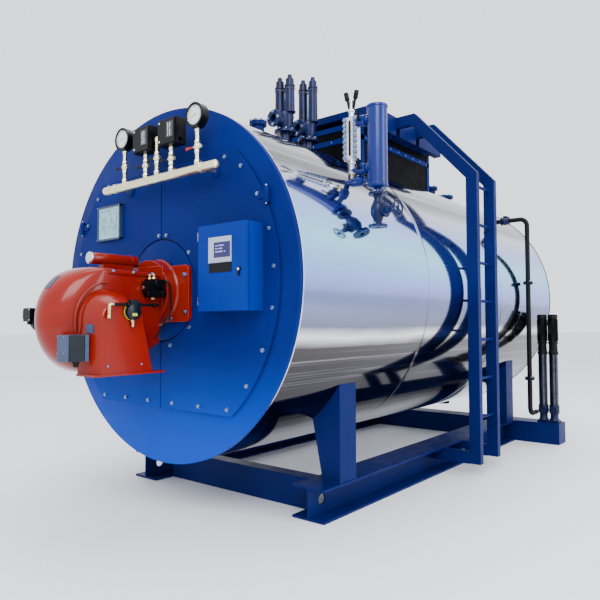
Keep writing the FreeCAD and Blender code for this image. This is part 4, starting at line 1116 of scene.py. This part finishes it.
def safety_valve(node):
    y, top = VALVE_YS[node], span(node)[1].z
    rise = top - BONNET_Z
    work = Work(valve_blue)
    work.turn((0, y, SHELL_TOP), UP, [
        (0, 52), (40, 38), (60, 35), (165, 35), (165, 74), (167, 78), (183, 78), (185, 76), (188, 50),
        (196, 54), (225, 62), (262, 62), (285, 66), (288, 66), (290, 64), (309, 62)], 56)
    for x in (-BONNET_X, BONNET_X):
        work.turn((x, y, BONNET_Z), UP, [
            (0, 42), (12, 42), (15, 36), (rise - 92, 34), (rise - 90, 38), (rise - 78, 38), (rise - 76, 31),
            (rise - 34, 29), (rise - 30, 18), (rise - 6, 16), (rise, 9)], 36)
        work.nut((x, y, top - 112), UP, 66, 16)
    work.turn((0, y - 52, OUTLET_Z), FRONT, [
        (0, 42), (50, 38), (56, 46), (58, 60), (60, 62), (72, 62), (74, 60), (74, 26), (34, 25.8)], 48)
    work.use(pump_black)
    lever = [(y - 8, top - 40), (y + 8, top - 40), (y + 46, top - 96), (y + 40, top - 104)]
    for x in (-BONNET_X, BONNET_X):
        work.prism(lever, "x", (x - 3, x + 3))
    work.use(stainless).rod((-74, y + 30, top - 100), (74, y + 30, top - 100), 3.2, 14)
    work.piece(node + "_casting", node, bevel=1.2, slot="valve_paint", angle=36)
    bolt_circle((0, y, 1159.5), UP, 63, 8, node + "_flange_bolts")
    bolt_circle((0, y - 126.5, OUTLET_Z), FRONT, 46, 4, node + "_outlet_bolts", start=45)


def top_nozzles():
    work = Work(shaded_frame_blue)
    spots = []
    for y, r, top in NOZZLES:
        rise, neck = top - SHELL_TOP, 0.7 * r
        work.turn((0, y, SHELL_TOP), UP, [
            (0, neck + 12), (14, neck + 2), (20, neck), (rise - 34, neck), (rise - 29, neck + 5),
            (rise - 28, r), (rise - 3, r), (rise, r - 2)], 56)
        for t in (2 * math.pi * (i + 0.5) / 8 for i in range(8)):
            spots.append(((0.84 * r * math.cos(t), y + 0.84 * r * math.sin(t), top - 0.5), UP))
    work.use(rubber)
    for y, r, top in NOZZLES:
        work.rod((0, y, top - 1), (0, y, top + 0.6), r * 0.66, 40)
    work.piece("top_connections", "top_nozzles", bevel=0, slot="frame_paint")
    fixings("top_nozzle_bolts", spots, 13)


# ------------------------------------------------------------------ level column, gauge and drain
COL_X, COL_Y = 1000.0, 690.0
LOWER_Z, UPPER_Z, UPPER_Y, DROP_X = 590, 965, 728, 795
WHEEL_X = 1128.0
GLASS_X, GLASS_Y, SHUT_OFF_X, SHUT_OFF_ZS = 840.0, 672.0, 914, (650, 925)


def skin_x(z, sunk):
    """Where the shell's side is at a height, sunk inwards."""
    return math.sqrt(SHELL_R ** 2 - z ** 2) - sunk


def level_column():
    work = Work(column_blue)
    work.turn((COL_X, COL_Y, 532), UP, [(0, 34), (1, 44), (4, 52), (9, 57), (12, 60), (22, 60), (24, 57),
                                        (450, 57), (452, 61), (464, 61), (468, 57), (470, 50)], 64)
    work.turn((COL_X, COL_Y, 497), UP, [(0, 30), (10, 30), (34, 22), (38, 22)], 36)
    work.piece("level_column_body", "level_column", bevel=1.2, slot="column_paint")
    pipes = Work(column_blue)
    pipes.pipe([(COL_X - 20, UPPER_Y, UPPER_Z), (DROP_X, UPPER_Y, UPPER_Z), (DROP_X, UPPER_Y, 570)], 17, 42)
    pipes.rod((skin_x(LOWER_Z, 20), COL_Y, LOWER_Z), (COL_X - 20, COL_Y, LOWER_Z), 17, 28)
    for x0, x1, radius, edge in ((848, 900, 30.6, 3), (838, 848, 26, 1), (900, 910, 26, 1)):
        pipes.rod((x0, COL_Y, LOWER_Z), (x1, COL_Y, LOWER_Z), radius, 36, edge)
    pipes.use(stainless).rod((874, COL_Y, 618), (874, COL_Y, 650), 7, 20)
    pipes.use(plain_black).rod((874, COL_Y, 650), (874, COL_Y, 658), 17, 24, 2)
    pipes.piece("level_column_pipes", "column_pipes", bevel=0.8, slot="column_paint")


def level_gauge():
    gx, gy = GLASS_X, GLASS_Y
    work = Work(stainless)
    work.block((gx - 46, gx + 46), (gy - 12, gy + 20), (712, 962))
    work.block((gx - 22, gx + 22), (gy - 20, gy - 12), (720, 954))
    work.use(plain_black).block((gx - 8, gx + 8), (gy - 20.6, gy - 19.8), (735, 939))
    work.use(stainless).rod((gx, gy, 700), (gx, gy, 714), 15, 28, 1)
    work.rod((gx, gy, 960), (gx, gy, 975), 15, 28, 1)
    work.piece("reflex_gauge", "level_gauge", bevel=2.2, slot="pipe_metal", segments=3)
    studs = [((gx + s * 34, gy - 12, 727 + i * 31.4), FRONT) for s in (-1, 1) for i in range(8)]
    fixings("reflex_gauge_studs", studs, 15, washer=False)
    valves = Work(column_blue)
    for z in SHUT_OFF_ZS:
        valves.turn((SHUT_OFF_X, gy, z), RIGHT, [(-36, 20), (-30, 31), (24, 31), (30, 20), (56, 17)], 36)
        valves.turn((SHUT_OFF_X, gy + 24, z), FRONT, [(0, 22), (4, 29), (46, 29), (52, 22)], 36)
        valves.rod((gx, gy, z), (SHUT_OFF_X, gy, z), 14, 28)
        valves.nut((868, gy, z), RIGHT, 38, 14)
    valves.use(stainless).rod((gx, gy, 640), (gx, gy, 712), 14, 28)
    valves.nut((gx, gy, 690), UP, 38, 14)
    valves.rod((gx, gy, 925), (gx, gy, 1000), 14, 28)
    valves.nut((gx, gy, 990), UP, 34, 18)
    valves.turn((gx, gy, 1000), UP, [(0, 10), (44, 9), (46, 13), (60, 13), (63, 8)], 24)
    valves.nut((gx, gy, 632), UP, 34, 14)
    valves.use(brass).turn((gx, gy, 604), UP, [(0, 5), (2, 8), (20, 8), (22, 12), (30, 12)], 24)
    valves.use(pump_black)
    for z in SHUT_OFF_ZS:
        valves.rod((SHUT_OFF_X, gy - 24, z), (SHUT_OFF_X, gy - 42, z), 8, 20)
        valves.block((908, 920), (gy - 50, gy - 40), (z - 10, z + 52))
    for side in (-1, 1):
        valves.rod((gx + side * 12, gy, 1004), (gx + side * 30, gy, 1084), 8, 16, 1)
        valves.rod((gx + side * 27, gy, 1066), (gx + side * 38, gy, 1112), 14, 20, 3)
    valves.piece("gauge_shut_offs", "gauge_valves", bevel=1.2, slot="pipe_metal")


def drain_valve():
    x, y, z = COL_X, COL_Y, 405.0
    work = Work(valve_blue)
    work.turn((x, y, 506), DOWN, [
        (0, 53), (2, 53), (14, 53), (14.5, 24), (40, 22), (62, 32), (80, 40), (122, 40), (142, 30),
        (166, 22), (179.5, 24), (180, 53), (194, 53), (194, 12.6), (101, 12.4)], 48)
    work.turn((x + 30, y, z), RIGHT, [(0, 34), (14, 34), (16, 42), (26, 42), (28, 24), (52, 20), (54, 14)],
              36)
    work.nut((x + 82, y, z), RIGHT, 32, 14)
    work.use(stainless).rod((x + 80, y, z), (x + 141, y, z), 6, 20)
    work.nut((x + 136, y, z), RIGHT, 16, 6)
    work.piece("drain_valve_body", "drain_valve", bevel=1, slot="valve_paint", angle=36)
    for name, bolt_z in (("upper", 506.2), ("lower", 325.8)):
        bolt_circle((x, y, bolt_z), UP, 39, 4, "drain_bolts_" + name, start=45, size=11)
    wheel = Work(valve_blue)
    wheel.hoop((WHEEL_X, y, z), RIGHT, 45, 5, 64, 16)
    for a in (math.radians(t) for t in (90, 210, 330)):
        ends = [(WHEEL_X, y + r * math.cos(a), z + r * math.sin(a)) for r in (10, 44)]
        wheel.rod(*ends, 4, 16)
    wheel.ring((WHEEL_X - 8, y, z), RIGHT, 6.3, 13, 16, 32)
    wheel.piece("drain_wheel", "drain_handwheel", body="drain_handwheel", bevel=0.8, slot="wheel_paint")


# ------------------------------------------------------------------ feed line, pumps and blowdown
PUMP_XS, PUMP_Y, PORT_Z = (1050.0, 1142.0), 3405.0, -1000
FEED_X, FEED_Y, FEED_Z, FEED_FLANGES = 1038, 3080, 680, (-700, 120)
BLOWDOWN_Y, BLOWDOWN_BOLT_R = 3570, 46
CORNERS = [math.pi / 4 + math.pi / 2 * i for i in range(4)]


def feed_line():
    x, y = FEED_X, FEED_Y
    work = Work(pump_black)
    route = [(x, 3240, PORT_Z), (x, y, PORT_Z), (x, y, FEED_Z), (skin_x(FEED_Z, 14), y, FEED_Z)]
    work.pipe(route, 20, 60, 28, 10)
    for z in FEED_FLANGES:
        work.rod((x, y, z - 12), (x, y, z - 1), 40, 36, 1.5)
        work.rod((x, y, z + 1), (x, y, z + 12), 40, 36, 1.5)
    work.piece("feed_line", "feed_pipe", bevel=0, slot="feed_paint")
    spots = [((x + 31 * math.cos(t), y + 31 * math.sin(t), z + 11.5), UP) for z in FEED_FLANGES
             for t in CORNERS]
    fixings("feed_line_bolts", spots, 9)
    valve = Work(valve_blue)
    valve.turn((814, y, FEED_Z), RIGHT, [(0, 34), (8, 38), (12, 30), (26, 33), (36, 38), (46, 33), (60, 30),
                                         (64, 38), (72, 34)])
    valve.nut((850, y, FEED_Z + 34), UP, 40, 10)
    valve.piece("feed_check_valve", "check_valve", bevel=0, slot="valve_paint")


def feed_pump(x, node):
    y = PUMP_Y
    work = Work(foot_blue)
    work.block((x - 44, x + 44), (y - 44, y + 44), (-1105, -1085))
    work.turn((x, y, -1086), UP, [(0, 42), (6, 40), (20, 34), (52, 34), (62, 41), (70, 43), (131, 43)])
    port = [(0, 26), (16, 26), (17, 34), (24, 34)]
    work.turn((x, y + 20, PORT_Z), REAR, port + [(24, 14.2), (4, 14)], 36)
    work.turn((x, y - 20, PORT_Z), FRONT, port + [(24.5, 8)], 36)
    work.use(column_steel).rod((x, y, -960), (x, y, -500), 34, 48)
    for i in range(11):
        work.ring((x, y, -930 + i * 38), UP, 32, 36, 4, 48)
    for a in CORNERS:
        stay = (x + 39 * math.cos(a), y + 39 * math.sin(a))
        work.rod((*stay, -958), (*stay, -488), 3, 14)
    work.use(pump_black)
    work.turn((x, y, -506), UP, [
        (0, 43), (24, 43), (30, 38), (92, 36), (98, 43), (110, 43), (112, 38), (322, 38), (324, 43),
        (332, 43), (336, 41), (354, 41), (358, 36), (359, 20)], 44)
    work.block((x - 26, x + 26), (y - 44, y - 30), (-330, -240))
    work.piece(node + "_unit", node, bevel=1.2, slot="pump_steel")
    fins(node + "_fins", (x, y, -288), UP, 37.0, 43.5, 196.0, 32, pump_black)


def blowdown():
    y, r = BLOWDOWN_Y, BLOWDOWN_BOLT_R
    work = Work(shaded_frame_blue)
    work.turn((0, y, -935), DOWN, [(0, 40), (16, 28), (20, 26), (84, 26), (86, 62), (108, 62), (110, 60),
                                   (110, 18.2), (40, 18)], 44)
    work.piece("blowdown_branch", "blowdown_nozzle", bevel=0, slot="frame_paint")
    spots = [((r * math.cos(t), y + r * math.sin(t), -1021), UP) for t in CORNERS]
    fixings("blowdown_bolts", spots, 12)


# ------------------------------------------------------------------ ladder, platform and casing
LADDER_X, LADDER_YS = 1055.0, (1875.0, 2195.0)
RUNG_FOOT, RUNG_PITCH, TREAD_PITCH = -890.0, 275, 34.0


def ladder():
    for node in ("ladder_frame_front", "ladder_frame_rear"):
        repaint(node, shaded_frame_blue)
    work = Work(shaded_frame_blue)
    low, high = span("ladder_rungs")
    for z in (RUNG_FOOT + RUNG_PITCH * i for i in range(7)):
        work.rod((LADDER_X, low.y, z), (LADDER_X, high.y, z), 11, 24)
        for y, facing in ((low.y, REAR), (high.y, FRONT)):
            work.turn((LADDER_X, y, z), facing, [(0, 16), (2, 15.5), (5, 12.5), (6, 11)], 24)
    work.piece("rungs", "ladder_rungs", bevel=0, slot="frame_paint")


def tread_bar(mesh, spot, slant):
    """One raised bar of the deck's tread, tapered upwards."""
    along = Vector((math.cos(slant), math.sin(slant), 0))
    over = Vector((-along.y, along.x, 0))
    base = [spot + along * 13, spot + over * 3.2, spot - along * 13, spot - over * 3.2]
    top = [p + Vector((0, 0, 1.6)) + (spot - p) * 0.35 for p in base]
    a, b = ([mesh.verts.new(at(*p)) for p in points] for points in (base, top))
    mesh.faces.new(b)
    for i in range(4):
        mesh.faces.new((a[i], a[(i + 1) % 4], b[(i + 1) % 4], b[i]))


def platform():
    low, high = span("platform_deck")
    deck = Work(shaded_frame_blue)
    deck.block((low.x, high.x), (low.y, high.y), (low.z, high.z))
    deck.piece("deck_plate", "platform_deck", bevel=1, slot="frame_paint")
    mesh = bmesh.new()
    row, y = 0, low.y + 20
    while y < high.y - 15:
        odd = row % 2
        x = low.x + 20 + (TREAD_PITCH / 2 if odd else 0)
        while x < high.x - 15:
            tread_bar(mesh, Vector((x, y, high.z)), math.radians(45 if odd else -45))
            x += TREAD_PITCH
        y += TREAD_PITCH / 2
        row += 1
    bmesh.ops.recalc_face_normals(mesh, faces=mesh.faces)
    bars = bpy.data.meshes.new("tread")
    mesh.to_mesh(bars)
    mesh.free()
    bars.materials.append(shaded_frame_blue.material)
    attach(linked("deck_tread_bars", bars), "boiler")
    repaint("platform_side_beams", shaded_frame_blue)
    repaint("platform_end_beams", shaded_frame_blue)


CASING_HALF, CASING_YS, CASING_TOP, BAND = 350.0, (1520.0, 2605.0), 1280.0, (1142, 1182)
ANGLE_THICK, ANGLE_WIDE = 5.0, 40.0


def saddle_z(x):
    """The casing's foot line on the shell."""
    return math.sqrt((SHELL_R + 1.5) ** 2 - x * x)


def casing():
    half, top, (y0, y1) = CASING_HALF, CASING_TOP, CASING_YS
    work = Work(casing_black)
    for side in (-1, 1):
        work.block(sorted((side * (half - 3), side * half)), (y0, y1), (saddle_z(half) - 2, top))
    line = [(x, saddle_z(x)) for x in (-half + 2 * half * i / 40 for i in range(41))]
    for y in (y0, y1 - 3):
        work.prism([(-half, top), *line, (half, top)], "y", (y, y + 3))
    work.block((-half, half), (y0, y1), (top - 3, top))
    work.piece("flue_cladding", "flue_casing", bevel=1, slot="casing_paint")
    t, w = ANGLE_THICK, ANGLE_WIDE
    angles = Work(plate_blue)
    upright, girths = (saddle_z(half) - 3, top), (BAND, (top - w, top))
    for y, way in ((y0, -1), (y1, 1)):
        for side in (-1, 1):
            angles.block(sorted((side * half, side * (half + t))), sorted((y + way * t, y - way * w)),
                         upright)
            angles.block(sorted((side * (half + t), side * (half - w))), sorted((y, y + way * t)), upright)
        for girth in girths:
            angles.block((-half - t, half + t), sorted((y, y + way * t)), girth)
    for side in (-1, 1):
        for girth in girths:
            angles.block(sorted((side * half, side * (half + t))), (y0 - t, y1 + t), girth)
    angles.piece("casing_corner_angles", "casing_angles", bevel=1.2, slot="casing_paint")
    rows = [y0 + 60 + i * (y1 - y0 - 120) / 8 for i in range(9)]
    spots = [((side * (half + t), y, z), (side, 0, 0)) for side in (-1, 1) for y in rows
             for z in (1162, top - 20)]
    spots += [((x, y, 1162), facing) for y, facing in ((y0 - t, FRONT), (y1 + t, REAR))
              for x in (-260, -87, 87, 260)]
    fixings("casing_screws", spots, 7)


# ------------------------------------------------------------------ skid
RAIL_TOP = 181


def skid():
    for node in ("saddles", "skid_rail_left", "skid_rail_right", "skid_front_channel", "skid_rear_beam",
                 "ladder_feet"):
        repaint(node, shaded_frame_blue)
    beads = Work(weld_steel)
    z = FLOOR + RAIL_TOP
    for side in (-1, 1):
        for y in (565, 725, 3120, 3280):
            beads.rod((side * 705, y, z), (side * 815, y, z), 4, 10)
    beads.piece("saddle_weld_beads", bevel=0)
    foot_top = span("ladder_feet")[1].z
    spots = [((x, y, foot_top), UP) for x in (760, 960) for y in LADDER_YS]
    fixings("ladder_foot_bolts", spots, 14)


jacket()
end_plates()
front_doors()
nameplate()
manifold()
risers()
gauge(GAUGE_XS[0], "pressure_gauge_left", 205)
gauge(GAUGE_XS[1], "pressure_gauge_right", 212)
switch("pressure_switch_left")
switch("pressure_switch_right")
cabinet()
burner()
burner_motor()
burner_fittings()
safety_valve("safety_valve_front")
safety_valve("safety_valve_rear")
top_nozzles()
level_column()
level_gauge()
drain_valve()
feed_line()
feed_pump(PUMP_XS[0], "feed_pump_left")
feed_pump(PUMP_XS[1], "feed_pump_right")
blowdown()
ladder()
platform()
casing()
skid()


# ------------------------------------------------------------------ room, light and camera
floor_data = bpy.data.meshes.new("floor")
floor_data.from_pydata([(-60, -60, 0), (60, -60, 0), (60, 60, 0), (-60, 60, 0)], [], [(0, 1, 2, 3)])
floor = linked("floor", floor_data)
ground = Coat("pale_floor", (0.80, 0.82, 0.86), 0.6)
ground.tint(ground.noise((1800, 1800, 1800), 3.0) * 0.12, (0.72, 0.74, 0.79))
floor_data.materials.append(ground.material)

world = bpy.data.worlds.new("soft_room")
bpy.context.scene.world = world
world.use_nodes = True
background = world.node_tree.nodes["Background"]
background.inputs["Color"].default_value = (0.88, 0.91, 0.97, 1)
background.inputs["Strength"].default_value = 1.9


def lamp(name, spot, target, size, power):
    data = bpy.data.lights.new(name, "AREA")
    data.shape = "RECTANGLE"
    data.size, data.size_y = size
    data.energy = power
    made = linked(name, data)
    made.location = spot
    made.rotation_euler = (Vector(target) - Vector(spot)).to_track_quat("-Z", "Y").to_euler()


lamp("key", (4.5, -6.5, 6.0), (0, -1.5, 1.3), (4, 4), 520)
lamp("side", (8.5, 1.0, 4.5), (0, 0.5, 1.4), (3, 7), 420)
lamp("top", (0, 0, 8.0), (0, 0, 1), (5, 7), 380)

EYE, LENS, SENSOR, YAW, PITCH, ROLL = (2.723, -3.984, 1.064), 35.49, 36, 39.062, 2.278, 0.210

eye = bpy.data.cameras.new("view")
eye.lens = LENS
eye.sensor_width = SENSOR
eye.clip_end = 200
viewer = linked("view", eye)
yaw, pitch, roll = (math.radians(a) for a in (YAW, PITCH, ROLL))
ahead = Vector((-math.sin(yaw) * math.cos(pitch), math.cos(yaw) * math.cos(pitch), math.sin(pitch)))
right = Vector((math.cos(yaw), math.sin(yaw), 0))
down = ahead.cross(right)
right, down = right * math.cos(roll) + down * math.sin(roll), down * math.cos(roll) - right * math.sin(roll)
turn = Matrix((right, -down, -ahead)).transposed().to_4x4()
viewer.matrix_world = Matrix.Translation(EYE) @ turn
bpy.context.scene.camera = viewer
